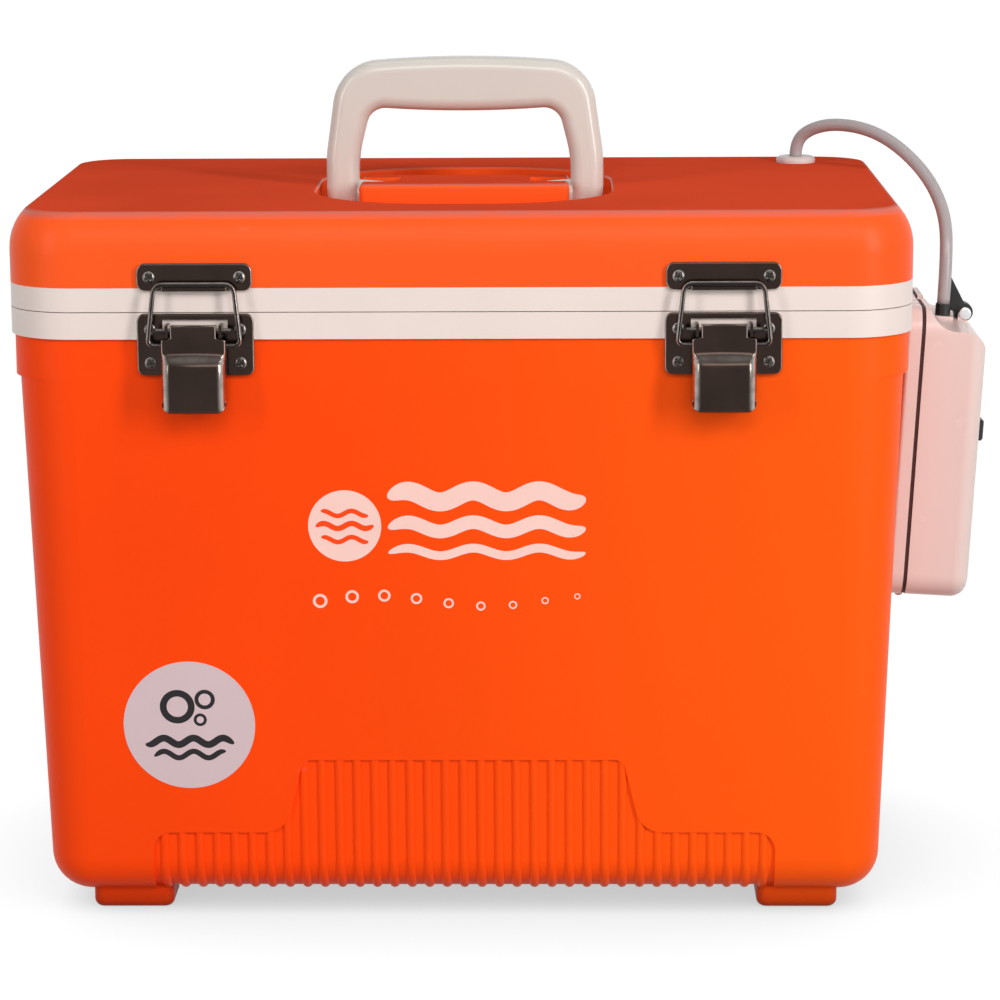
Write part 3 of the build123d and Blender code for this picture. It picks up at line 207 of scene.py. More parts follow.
CAMERA_FAR = 30.0

# Linear colours of the finishes that a user wouldn't change.
FOAM_YELLOW = (0.85, 0.78, 0.55)
SCUFF_PALE = (0.9, 0.75, 0.68)
# Painted highlight along the lid's crease.
CREASE_HIGHLIGHT_PINK = (0.62, 0.14, 0.10)
# Painted shade on the lid's roof.
ROOF_SHADE_ORANGE = (0.80, 0.080, 0.030)
SOFT_BLACK = (0.02, 0.02, 0.02)
CASE_SEAL_BROWN = (0.045, 0.010, 0.009)
GROMMET_WHITE = (0.63, 0.54, 0.52)
# Painted highlights on the black nickel and on the screws.
NICKEL_HIGHLIGHT = (0.50, 0.45, 0.41)
SCREW_HIGHLIGHT = (0.66, 0.62, 0.58)
WIRE_NICKEL = (0.022, 0.019, 0.018)
SCREW_NICKEL = (0.026, 0.022, 0.020)
DULL_STEEL = (0.55, 0.54, 0.52)
HINGE_STEEL = (0.50, 0.49, 0.47)
PIN_STEEL = (0.5, 0.5, 0.5)
SPRING_STEEL = (0.60, 0.58, 0.55)
CHROME = (0.75, 0.75, 0.76)
BRASS = (0.70, 0.52, 0.24)
CHASSIS_GREY = (0.35, 0.34, 0.32)
CHAMBER_GREY = (0.10, 0.11, 0.12)
CELL_BLUE = (0.03, 0.05, 0.10)
STONE_BLUE = (0.20, 0.26, 0.36)
WALL_THROUGH_INK = (0.80, 0.35, 0.26)
STICKER_BLACK = (0.012, 0.010, 0.012)
WHITE = (1.0, 1.0, 1.0)


# ---------------------------------------------------------------- settings
def color_setting(name, description, default):
    """Linear colour that a user can change."""
    return FloatVectorProperty(
        name=name, description=description, default=default, subtype="COLOR", min=0.0, max=1.0
    )


def length_setting(name, description, default):
    """Length that a user can change."""
    return FloatProperty(
        name=name, description=description, default=default, subtype="DISTANCE", unit="LENGTH"
    )


class BucketColors(PropertyGroup):
    """Colours of the bucket's finishes."""

    tub: color_setting("Tub", "Moulded orange of the tub", (0.98, 0.060, 0.001))
    lid: color_setting("Lid", "Moulded orange of the lid", (0.96, 0.100, 0.014))
    liner: color_setting("Liner", "Cream of the liner and its rim bands", (0.78, 0.665, 0.612))
    handle: color_setting("Handle", "Cream of the carrying handle", (0.61, 0.57, 0.515))
    pump: color_setting("Pump case", "Pale pink grey of the pump's case", (0.76, 0.585, 0.54))
    black: color_setting("Black", "Black moulded plastic", (0.012, 0.012, 0.012))
    nickel: color_setting("Black nickel", "Plating of the latches", (0.034, 0.023, 0.019))
    hose: color_setting("Hose", "Vinyl of the hoses", (0.38, 0.335, 0.335))
    ink: color_setting("Ink", "Pale print on the front", (0.93, 0.60, 0.53))
    sticker: color_setting("Sticker", "Paper of the round sticker", (0.64, 0.49, 0.51))


class BucketSizes(PropertyGroup):
    """Sizes that a user would change."""

    hose_diameter: length_setting("Hose diameter", "Outer diameter of both hoses", 6.35 * MM)
    sticker_radius: length_setting("Sticker radius", "Radius of the round sticker", 31.0 * MM)
    print_lift: length_setting("Print lift", "Height of the printed ink over the wall", 0.06 * MM)
    round_steps: IntProperty(
        name="Round steps", description="Points round a hose", default=28, min=8
    )


class BucketSettings(PropertyGroup):
    """All of the bucket's settings."""

    colors: PointerProperty(type=BucketColors)
    sizes: PointerProperty(type=BucketSizes)


# ---------------------------------------------------------------- shader maths
class Value:
    """A shader's value: an output socket that takes part in Python arithmetic."""

    def __init__(self, graph, socket):
        self.graph = graph
        self.socket = socket

    def math(self, operation, *others):
        """Math node on this value and the others."""
        inputs = dict(enumerate((self, *others)))
        return self.graph.node("ShaderNodeMath", {"operation": operation}, inputs)

    def __add__(self, other):
        return self.math("ADD", other)

    def __sub__(self, other):
        return self.math("SUBTRACT", other)

    def __rsub__(self, other):
        return self * -1.0 + other

    def __mul__(self, other):
        return self.math("MULTIPLY", other)

    __radd__ = __add__
    __rmul__ = __mul__

    def step(self, low, high):
        """0 below `low`, 1 above `high`, smooth between."""
        return self.graph.node(
            "ShaderNodeMapRange",
            {"interpolation_type": "SMOOTHSTEP"},
            {"Value": self, "From Min": low, "From Max": high},
        )


class Graph:
    """Emptied node tree of a material or world, ready for new nodes."""

    def __init__(self, owner):
        owner.use_nodes = True
        self.owner = owner
        self.tree = owner.node_tree
        self.tree.nodes.clear()

    def node(self, kind, settings=None, inputs=None, output=0):
        """Adds a node, sets it up, then its sockets' values or links; gives one output."""
        node = self.tree.nodes.new(kind)
        for key, value in (settings or {}).items():
            setattr(node, key, value)
        for key, value in (inputs or {}).items():
            if isinstance(value, Value):
                self.tree.links.new(value.socket, node.inputs[key])
            else:
                node.inputs[key].default_value = value
        return Value(self, node.outputs[output]) if node.outputs else None

    def place(self, scale=(1.0, 1.0, 1.0)):
        """Object coordinates, scaled."""
        inputs = {"Vector": self.node("ShaderNodeTexCoord", output="Object"), "Scale": scale}
        return self.node("ShaderNodeMapping", {"vector_type": "POINT"}, inputs)

    def axis(self, vector, index):
        """One component of a vector."""
        return self.node("ShaderNodeSeparateXYZ", None, {0: vector}, output=index)

    def noise(self, scale, detail=3.0, roughness=0.5, stretch=(1.0, 1.0, 1.0)):
        """Noise from 0 to 1 on Object coordinates."""
        inputs = {
            "Vector": self.place(stretch),
            "Scale": scale,
            "Detail": detail,
            "Roughness": roughness,
        }
        return self.node("ShaderNodeTexNoise", None, inputs)

    def mix(self, factor, first, second):
        """Colour between two, by a factor."""
        inputs = {0: factor, 6: first, 7: second}
        return self.node("ShaderNodeMix", {"data_type": "RGBA"}, inputs, output=2)

    def mix_shaders(self, factor, first, second):
        """Shader between two, by a factor."""
        return self.node("ShaderNodeMixShader", None, {0: factor, 1: first, 2: second})

    def bump(self, height, distance):
        """Normal of a height times `distance`."""
        inputs = {"Height": height, "Distance": distance, "Strength": 1.0}
        return self.node("ShaderNodeBump", None, inputs)

    def principled(self, **inputs):
        """Principled surface with the given sockets."""
        sockets = {key.replace("_", " "): value for key, value in inputs.items()}
        if "Specular" in sockets:
            sockets["Specular IOR Level"] = sockets.pop("Specular")
        return self.node("ShaderNodeBsdfPrincipled", None, sockets)

    def surface(self, shader):
        """Wires a shader to the output and gives the material."""
        self.node("ShaderNodeOutputMaterial", None, {"Surface": shader})
        return self.owner

    def finish(self, **inputs):
        """Material with one principled surface."""
        return self.surface(self.principled(**inputs))


def rgba(color, scale=1.0):
    """Four-channel colour, brightened or darkened."""
    return (*(min(1.0, channel * scale) for channel in color[:3]), 1.0)


def scuff_mask(graph):
    """Rare scuffs, longer from left to right."""
    return graph.noise(95.0, detail=6.0, roughness=0.7, stretch=(0.25, 1.0, 1.0)).step(0.68, 0.80)


def worn_roughness(graph, roughness, scuffs, scuffing):
    """Roughness that varies slowly and rises in the scuffs."""
    wear = graph.noise(48.0, detail=4.0)
    return wear * 0.10 + scuffs * (scuffing * 1.5) + (roughness - 0.05)


def moulded_normal(graph, distance):
    """Normal of a mould's fine grain over a slow orange peel."""
    fine = graph.noise(2600.0, detail=2.0)
    orange_peel = graph.noise(240.0, detail=1.0)
    return graph.bump(fine + orange_peel * 1.5, distance)


def moulded_plastic(name, color, roughness, specular, scuffing=0.08, painted_light_and_shade=False):
    """Injection-moulded plastic: slow mottling, faint flow streaks, fine grain and rare scuffs.

    With painted light and shade, the colour is lightened towards the right as painted light and
    darkened near the ground, over the feet, as painted shade.
    """
    graph = Graph(bpy.data.materials.new(name))
    mottling = graph.noise(7.0, detail=2.0)
    streaks = graph.noise(22.0, detail=3.0, stretch=(1.0, 1.0, 0.12))
    blend = (mottling * 0.6 + streaks * 0.4).step(0.35, 0.65)
    base = graph.mix(blend, rgba(color, 0.97), rgba(color, 1.02))
    scuffs = scuff_mask(graph)
    base = graph.mix(scuffs * scuffing, base, rgba(SCUFF_PALE))
    if painted_light_and_shade:
        across = graph.axis(graph.place(), 0)
        height = graph.axis(graph.place(), 2)
        # Painted light: the orange turns lighter and yellower towards the right.
        lit_right_color = (color[0], color[1] * 1.75, color[2] * 2.5)
        base = graph.mix(across.step(-160.0 * MM, 260.0 * MM), base, rgba(lit_right_color))
        # Painted shade: the colour darkens near the ground.
        above_painted_shade = height.step(2.0 * MM, 15.0 * MM)
        base = graph.mix((1.0 - above_painted_shade) * 0.75, base, rgba(color, 0.25))
    return graph.finish(
        Base_Color=base,
        Roughness=worn_roughness(graph, roughness, scuffs, scuffing),
        Specular=specular,
        Normal=moulded_normal(graph, 0.02 * MM),
    )


def lid_plastic_with_painted_light(name, color, crease_highlight_color, roof_shade_color, roughness, specular, scuffing=0.08):
    """Moulded plastic of the lid: its own orange on the sides, a pale painted highlight along the
    crease and painted shade on the roof.

    How far a place faces up, from 0 on a wall to 1 on the roof, chooses between the three.
    """
    graph = Graph(bpy.data.materials.new(name))
    lift = graph.axis(graph.node("ShaderNodeNewGeometry", output="Normal"), 2)
    mottling = graph.noise(7.0, detail=2.0).step(0.35, 0.65)
    sides = graph.mix(mottling, rgba(color, 0.97), rgba(color, 1.02))
    # Painted shade: the roof takes a darker orange than the sides.
    roof = graph.mix(mottling, rgba(roof_shade_color, 0.95), rgba(roof_shade_color, 1.05))
    base = graph.mix(lift.step(0.90, 0.99), sides, roof)
    # Painted highlight: a pale band along the crease, broken up by noise.
    crease_highlight_patches = graph.noise(60.0, detail=4.0).step(0.2, 0.6) * 0.3 + 0.7
    crease = lift.step(0.58, 0.68) * (1.0 - lift.step(0.985, 0.999))
    base = graph.mix(crease * crease_highlight_patches, base, rgba(crease_highlight_color))
    scuffs = scuff_mask(graph)
    base = graph.mix(scuffs * scuffing, base, rgba(SCUFF_PALE))
    rough = worn_roughness(graph, roughness, scuffs, scuffing)
    normal = moulded_normal(graph, 0.02 * MM)
    satin = graph.principled(Base_Color=base, Roughness=rough, Specular=specular, Normal=normal)
    # Painted shade: the roof also takes a copy of the finish without gloss.
    dull = graph.principled(Base_Color=base, Roughness=rough + 0.25, Specular=0.0, Normal=normal)
    return graph.surface(graph.mix_shaders(lift.step(0.70, 0.97), satin, dull))


def plated_metal(name, color, roughness, brush=0.0):
    """Polished plating: smeared finger haze in the gloss and a faint waviness of the sheet."""
    graph = Graph(bpy.data.materials.new(name))
    haze = graph.noise(60.0, detail=5.0, roughness=0.65)
    brushing = graph.noise(900.0, detail=2.0, stretch=(0.08, 1.0, 1.0))
    pits = graph.noise(700.0, detail=2.0).step(0.72, 0.80)
    waves = graph.noise(70.0, detail=1.0)
    return graph.finish(
        Base_Color=graph.mix(haze, rgba(color, 0.85), rgba(color, 1.2)),
        Metallic=1.0,
        Roughness=haze * 0.16 + brushing * brush + pits * 0.2 + roughness,
        Normal=graph.bump(waves + brushing * (brush * 2.0), 0.03 * MM),
    )


def black_nickel(name, color, highlight_color, side_share, top_share):
    """Black nickel with a painted highlight where it turns to the sides and, less, up and down.

    The bright share grows with the outward normal's distance from the front-to-back direction.
    """
    graph = Graph(bpy.data.materials.new(name))
    haze = graph.noise(55.0, detail=5.0, roughness=0.65)
    patches = graph.noise(160.0, detail=3.0)
    outward = graph.node("ShaderNodeNewGeometry", output="Normal")
    across = graph.axis(outward, 0)
    lift = graph.axis(outward, 2)
    # Painted highlight: the colour turns bright on surfaces that face the sides, up or down.
    sideways = across.math("ABSOLUTE").step(0.18, 0.80) * side_share
    upward = lift.step(0.35, 0.85) * top_share
    downward = (lift * -1.0).step(0.3, 0.95) * (0.25 * top_share)
    share = (sideways + upward + downward).math("MINIMUM", 1.0)
    share = share * (patches.step(0.25, 0.6) * 0.45 + 0.55)
    plating = graph.mix(haze, rgba(color, 0.7), rgba(color, 1.5))
    return graph.finish(
        Base_Color=graph.mix(share, plating, rgba(highlight_color)),
        Metallic=1.0,
        Roughness=haze * 0.12 + 0.15,
        Normal=graph.bump(graph.noise(120.0, detail=1.0), 0.02 * MM),
    )


def rigid_foam(name, color):
    """Foam or porous stone: closed cells with darker pits, over slow lumps."""
    graph = Graph(bpy.data.materials.new(name))
    cells = graph.node(
        "ShaderNodeTexVoronoi", {"feature": "F1"}, {"Vector": graph.place(), "Scale": 420.0}
    )
    lumps = graph.noise(60.0, detail=4.0)
    return graph.finish(
        Base_Color=graph.mix(cells.step(0.1, 0.6), rgba(color, 0.7), rgba(color, 1.05)),
        Roughness=0.85,
        Normal=graph.bump(cells + lumps * 2.0, 0.4 * MM),
    )


def soft_rubber(name, color):
    """Moulded rubber: dull, with dust in its grain."""
    graph = Graph(bpy.data.materials.new(name))
    dust = graph.noise(120.0, detail=6.0, roughness=0.7).step(0.5, 0.8)
    grain = graph.noise(1500.0, detail=2.0)
    return graph.finish(
        Base_Color=graph.mix(dust * 0.5, rgba(color), rgba(color, 3.0)),
        Roughness=dust * 0.2 + 0.6,
        Specular=0.3,
        Normal=graph.bump(grain, 0.02 * MM),
    )


def vinyl(name, color):
    """Milky vinyl hose with a slow cloudiness along it."""
    graph = Graph(bpy.data.materials.new(name))
    clouds = graph.noise(90.0, detail=3.0)
    fine = graph.noise(1200.0, detail=2.0)
    return graph.finish(
        Base_Color=graph.mix(clouds, rgba(color, 0.92), rgba(color, 1.08)),
        Roughness=clouds * 0.12 + 0.2,
        Specular=0.4,
        Normal=graph.bump(fine, 0.01 * MM),
    )


def printed_ink(name, color, speckle):
    """Screen-printed ink: slightly uneven cover with small worn specks."""
    graph = Graph(bpy.data.materials.new(name))
    specks = graph.noise(300.0, detail=5.0, roughness=0.7).step(0.62, 0.72)
    shade = graph.noise(35.0, detail=2.0)
    cover = graph.mix(shade, rgba(color, 0.95), rgba(color, 1.04))
    return graph.finish(
        Base_Color=graph.mix(specks * speckle, cover, rgba(WALL_THROUGH_INK)),
        Roughness=0.5,
        Specular=0.25,
        Normal=graph.bump(specks, 0.01 * MM),
    )


def sticker_paper(name, color):
    """Coated sticker paper: faint fibres and a soft sheen."""
    graph = Graph(bpy.data.materials.new(name))
    fibres = graph.noise(900.0, detail=5.0, roughness=0.7, stretch=(0.4, 1.0, 1.0))
    shade = graph.noise(30.0, detail=2.0)
    return graph.finish(
        Base_Color=graph.mix(fibres * 0.4 + shade * 0.6, rgba(color, 0.96), rgba(color, 1.05)),
        Roughness=0.45,
        Specular=0.3,
        Normal=graph.bump(fibres, 0.01 * MM),
    )


def dress(material, *names):
    """Gives CAD nodes one material."""
    for name in names:
        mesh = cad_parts[name].data
        mesh.materials.clear()
        mesh.materials.append(material)


# ---------------------------------------------------------------- surfaces
def grid_faces(rows, columns, wrap_rows=False, wrap_columns=False):
    """Quads of a grid of points, row by row, that joins its own start where it wraps."""
    i, j = np.meshgrid(
        np.arange(rows if wrap_rows else rows - 1),
        np.arange(columns if wrap_columns else columns - 1),
        indexing="ij",
    )
    row, next_row = i * columns, (i + 1) % rows * columns
    next_j = (j + 1) % columns
    corners = (row + j, next_row + j, next_row + next_j, row + next_j)
    return np.stack([corner.ravel() for corner in corners], axis=1)


class Skin:
    """Collects grids of points into one mesh."""

    merge_distance = 1e-7

    def __init__(self):
        self.points = []
        self.faces = []
        self.count = 0

    def add(self, grid, wrap_rows=False, wrap_columns=False, flip=False):
        """One grid, of shape rows by columns by 3."""
        rows, columns = grid.shape[:2]
        faces = grid_faces(rows, columns, wrap_rows, wrap_columns) + self.count
        self.faces.append(faces[:, ::-1] if flip else faces)
        self.points.append(grid.reshape(-1, 3))
        self.count += rows * columns
        return self

    def make(self, name, material, smooth=True):
        """Mesh object of all the grids: doubled points merged, no empty faces, normals outward."""
        mesh = bpy.data.meshes.new(name)
        points, faces = np.concatenate(self.points), np.concatenate(self.faces)
        mesh.from_pydata(points.tolist(), [], faces.tolist())
        mesh.materials.append(material)
        work = bmesh.new()
        work.from_mesh(mesh)
        bmesh.ops.remove_doubles(work, verts=work.verts, dist=self.merge_distance)
        bmesh.ops.dissolve_degenerate(work, edges=work.edges, dist=self.merge_distance)
        bmesh.ops.recalc_face_normals(work, faces=work.faces)
        work.to_mesh(mesh)
        work.free()
        mesh.polygons.foreach_set("use_smooth", np.full(len(mesh.polygons), smooth))
        piece = bpy.data.objects.new(name, mesh)
        bpy.context.scene.collection.objects.link(piece)
        return piece


def ramp(value, low, high):
    """0 below `low`, 1 above `high`, straight between."""
    return np.clip((value - low) / (high - low), 0.0, 1.0)


def eased(value, low, high):
    """0 below `low`, 1 above `high`, and between them three squares less two cubes of the ramp."""
    share = ramp(value, low, high)
    return share * share * (3.0 - 2.0 * share)


def full_turn(steps):
    """Angles of points evenly round a circle."""
    return np.linspace(0.0, 2.0 * np.pi, steps, endpoint=False)


def curve_line(name, points, resolution):
    """Points of the smooth NURBS line that has `points` as its control points."""
    curve = bpy.data.curves.new(name, "CURVE")
    curve.dimensions = "3D"
    curve.resolution_u = resolution
    spline = curve.splines.new("NURBS")
    spline.points.add(len(points) - 1)
    spline.points.foreach_set("co", np.column_stack([points, np.ones(len(points))]).ravel())
    spline.order_u = 3
    spline.use_endpoint_u = True
    holder = bpy.data.objects.new(name, curve)
    bpy.context.scene.collection.objects.link(holder)
    line = bpy.data.meshes.new_from_object(holder)
    read = np.empty(len(line.vertices) * 3)
    line.vertices.foreach_get("co", read)
    bpy.data.objects.remove(holder)
    bpy.data.meshes.remove(line)
    return read.reshape(-1, 3)


def distances_along(line):
    """Distance of each point of a line from its start, along it."""
    runs = np.linalg.norm(np.diff(line, axis=0), axis=1)
    return np.concatenate([[0.0], np.cumsum(runs)])


def evenly(line, count):
    """The same line with points at even distances along it, and those distances."""
    along = distances_along(line)
    even = np.linspace(0.0, along[-1], count)
    return np.stack([np.interp(even, along, line[:, axis]) for axis in range(3)], axis=1), even


def carried_normals(line):
    """Two normals at each point of a line, turned from point to point as little as can be."""
    tangents = np.gradient(line, axis=0)
    tangents /= np.linalg.norm(tangents, axis=1)[:, None]
    side = np.cross(tangents[0], [0.0, 1.0, 0.0])
    side /= np.linalg.norm(side)
    sides = []
    for tangent in tangents:
        side = side - tangent * np.dot(side, tangent)
        side /= np.linalg.norm(side)
        sides.append(side)
    sides = np.array(sides)
    return sides, np.cross(tangents, sides)


def tube_grid(line, radius, steps):
    """Rings of `steps` points, each ring square to the line and centred on one of its points."""
    sides, ups = (normals[:, None] for normals in carried_normals(line))
    angle = full_turn(steps)[None, :, None]
    return line[:, None] + radius * (np.cos(angle) * sides + np.sin(angle) * ups)


# ---------------------------------------------------------------- prints on the front wall
def on_front(x, z, lift):
    """Points on the drafted front wall at x and z from the tub's middle, lifted off the wall."""
    y = FRONT_AT_COLLAR + (COLLAR_Z - z) * WALL_DRAFT - lift
    return np.stack(np.broadcast_arrays(x + TUB_X, y, z), axis=-1)


def ring_on_front(skin, x, z, radii, lifts, steps=96):
    """Flat ring: a rectangle between two radii and two lifts, turned round (x, z)."""
    inner, outer = radii
    low, high = lifts
    angle = full_turn(steps)[:, None]
    radius = np.array([[inner, inner, outer, outer]])
    lift = np.array([[low, high, high, low]])
    grid = on_front(x + radius * np.cos(angle), z + radius * np.sin(angle), lift)
    skin.add(grid, wrap_rows=True, wrap_columns=inner > 0)


def wave_on_front(skin, center, span, level, width, height, pitch, phase, lifts):
    """Flat band along a sine line: z is `level` plus `height` times the sine of x over the pitch.

    Its section is a rectangle between two lifts.  It is as wide as `width`, and narrows to nothing
    at both ends along a quarter of an ellipse.
    """
    low, high = lifts
    x = np.linspace(*span, WAVE_STEPS)
    z = level + height * np.sin(2.0 * np.pi * x / pitch + phase)
    middle = np.stack([x + center, z], axis=1)
    slope = np.gradient(middle, axis=0)
    slope /= np.linalg.norm(slope, axis=1)[:, None]
    share = np.linspace(0.0, 1.0, WAVE_STEPS)
    ends = np.clip(np.minimum(share, 1.0 - share) / WAVE_TAPER, 0.0, 1.0)
    reach = width / 2 * np.sqrt(1.0 - (1.0 - ends) ** 2)
    across = np.stack([-slope[:, 1], slope[:, 0]], axis=1) * reach[:, None]
    edges = [middle + across, middle + across, middle - across, middle - across]
    corners = np.stack(edges, axis=1)
    lift = np.array([[low, high, high, low]])
    skin.add(on_front(corners[..., 0], corners[..., 1], lift), wrap_columns=True)


def printed_piece(skin, name, material):
    """Makes a flat piece that moves with the tub."""
    piece = skin.make(name, material, smooth=False)
    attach(piece, "tub")


def front_print(colors, lift):
    """Three waves, a disc and a row of rings that shrink from left to right."""
    skin = Skin()
    lifts = (PRINT_SINK, lift)
    span = np.array(FRONT_WAVE_SPAN) * MM
    pitch = FRONT_WAVE_PITCH * MM
    for level, width, height in np.array(FRONT_WAVES) * MM:
        wave_on_front(skin, 0.0, span, level, width, height, pitch, FRONT_WAVE_PHASE, lifts)
    x, z, radius = np.array(DISC) * MM
    ring_on_front(skin, x, z, (0.0, radius), lifts)
    for index in range(RING_COUNT):
        radius = (RING_RADIUS - RING_SHRINKAGE * index) * MM
        x = (RING_FIRST[0] + RING_SPACING * index) * MM
        z = (RING_FIRST[1] + RING_SWAY * np.sin(RING_SWAY_TURN * index)) * MM
        ring_on_front(skin, x, z, (RING_HOLE * radius, radius), lifts, steps=48)
    printed_piece(skin, "front_print", printed_ink("pale_ink", colors.ink, 0.35))


def disc_waves(colors, lift):
    """Three small waves on the disc, in the tub's colour."""
    skin = Skin()
    lifts = (lift, 2 * lift)
    pitch, height = DISC_WAVE_PITCH * MM, DISC_WAVE_HEIGHT * MM
    for level, half, width in np.array(DISC_WAVES) * MM:
        span = (-half, half)
        wave_on_front(skin, DISC[0] * MM, span, level, width, height, pitch, 0.0, lifts)
    orange = printed_ink("orange_ink", colors.tub, 0.0)
    printed_piece(skin, "print_disc_waves", orange)


def round_sticker(colors, radius):
    """Paper disc on the wall."""
    skin = Skin()
    x, z = np.array(STICKER) * MM
    ring_on_front(skin, x, z, (0.0, radius), (PRINT_SINK, STICKER_PAPER), steps=160)
    paper = sticker_paper("sticker_paper", colors.sticker)
    printed_piece(skin, "round_sticker", paper)


def sticker_motif():
    """Bubbles over two waves, on the sticker."""
    skin = Skin()
    x, z = np.array(STICKER) * MM
    lifts = (STICKER_PAPER, STICKER_PAPER + STICKER_INK)
    for bubble_x, bubble_z, outer, inner in np.array(BUBBLES) * MM:
        ring_on_front(skin, x + bubble_x, z + bubble_z, (inner, outer), lifts)
    pitch, height = STICKER_WAVE_PITCH * MM, STICKER_WAVE_HEIGHT * MM
    for level, half, width in np.array(STICKER_WAVES) * MM:
        span, phase = (-half, half), STICKER_WAVE_PHASE
        wave_on_front(skin, x, span, z + level, width, height, pitch, phase, lifts)
    black = printed_ink("sticker_ink", STICKER_BLACK, 0.0)
    printed_piece(skin, "sticker_print", black)


# ---------------------------------------------------------------- latches
def lever_profile(neck_top, cup_top, low, neck_front, cup_front, back):
    """Line down the lever's face in the YZ plane: neck, slope, cup and floor, a smooth spline."""
    points = [
        (neck_front, neck_top),
        (neck_front, cup_top + 3.0 * MM),
        (neck_front, cup_top - 0.4 * MM),
        (cup_front + 1.1 * MM, cup_top - 3.5 * MM),
        (cup_front + 0.3 * MM, cup_top - 6.2 * MM),
        (cup_front + 0.05 * MM, cup_top - 10.0 * MM),
        (cup_front, (cup_top + low) / 2),
        (cup_front + 0.2 * MM, low + 5.0 * MM),
        (cup_front + 0.6 * MM, low),
        (cup_front + 6.0 * MM, low),
        (back, low),
    ]
    control = np.array([(0.0, y, z) for y, z in points])
    return curve_line("lever_profile", control, LEVER_RESOLUTION)


def folded_sheet(line, half_width, depth, bend, crown, turn):
    """Sheet carried down a line and folded back at both sides.

    Across each point the sheet runs flat from the middle, bowed outward by `crown` times one less
    the square of the share, rounds a quarter turn of radius `bend`, then runs `depth` deep.  The
    side walls go back along +Y, turned by `turn` towards +Z.
    """
    share = np.linspace(0.0, 1.0, FOLD_STEPS)
    angle = share[1:] * np.pi / 2
    half_width, depth, bend, crown = (size[:, None] for size in (half_width, depth, bend, crown))
    flat = half_width - bend
    wall = half_width * np.ones(FOLD_STEPS - 1)
    across = np.concatenate([flat * share, flat + bend * np.sin(angle), wall], axis=1)
    bowed = -crown * (1.0 - share**2)
    rounded = bend * (1.0 - np.cos(angle))
    inward = np.concatenate([bowed, rounded, bend + (depth - bend) * share[1:]], axis=1)
    across = np.concatenate([-across[:, :0:-1], across], axis=1)
    inward = np.concatenate([inward[:, :0:-1], inward], axis=1)
    y = line[:, 1, None] + inward * np.cos(turn)[:, None]
    z = line[:, 2, None] + inward * np.sin(turn)[:, None]
    return np.stack([line[:, 0, None] + across, y, z], axis=-1)


def lever_face(low, high, inset):
    """Outer or inner face of a lever's sheet, which lies `inset` behind the outer one.

    Its half width, depth and folds go over from the neck to the shoulders, cup and floor by ramps
    of the depth below the top edge and of the distance left to the end of the line.
    """
    line = lever_profile(
        neck_top=high[2] - NECK_DROP - inset,
        cup_top=high[2] - CUP_DROP,
        low=low[2] + inset,
        neck_front=low[1] + NECK_INSET + inset,
        cup_front=low[1] + CUP_INSET + inset,
        back=high[1],
    )
    line, along = evenly(line, LEVER_STEPS)
    drop = high[2] - line[:, 2]
    floor_start, floor_full = along[-1] - np.array(FLOOR_RUNS)
    floor = eased(along, floor_start, floor_full)
    cup = ramp(drop, *CUP_DROPS) * (1.0 - floor)
    shoulder = eased(drop, *SHOULDER_DROPS)
    past_lugs = ramp(drop, *LUG_DROPS)
    neck_depth = NECK_DEPTH - inset
    wall_depth = (high[1] - line[:, 1]) * past_lugs + neck_depth * (1.0 - past_lugs)
    bend = EDGE_BEND + CUP_BEND * cup + FLOOR_BEND * floor - inset
    return folded_sheet(
        line + np.array([(low[0] + high[0]) / 2, 0.0, 0.0]),
        half_width=NECK_HALF_WIDTH + SHOULDER_WIDTH * shoulder - FLOOR_TAPER * floor - inset,
        depth=wall_depth * (1.0 - floor) + FLOOR_DEPTH * floor,
        bend=np.maximum(bend, LEAST_BEND),
        crown=CUP_CROWN * cup,
        turn=floor * np.pi / 2,
    )


def outline(grid):
    """Points round the border of a grid."""
    return np.concatenate([grid[0], grid[1:, -1], grid[-1, -2::-1], grid[-2:0:-1, 0]])


def latch_lever(side, material):
    """Pressed lever: barrel on its pin, narrow neck, wide shoulders and a pillow-shaped cup.

    The barrel is a circle of points carried along X, and drawn to its middle at both ends.
    """
    low, high = node_box(f"latch_lever_{side}")
    outer, inner = (lever_face(low, high, inset) for inset in (0.0, LEVER_SHEET))
    skin = Skin().add(outer).add(inner, flip=True)
    skin.add(np.stack([outline(outer), outline(inner)]), wrap_columns=True)
    angle = full_turn(BARREL_STEPS)
    ends = np.array([-1.0, -1.0, 1.0, 1.0])[:, None] * BARREL_HALF_LENGTH
    radius = np.array([0.0, 1.0, 1.0, 0.0])[:, None] * BARREL_RADIUS
    x = (low[0] + high[0]) / 2 + ends
    y = high[1] - PIN_INSET + radius * np.cos(angle)
    z = high[2] - PIN_DROP + radius * np.sin(angle)
    skin.add(np.stack(np.broadcast_arrays(x, y, z), axis=-1), wrap_columns=True)
    lever = skin.make(f"latch_lever_{side}_sheet", material)
    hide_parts(f"latch_lever_{side}")
    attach(lever, f"latch_lever_{side}")


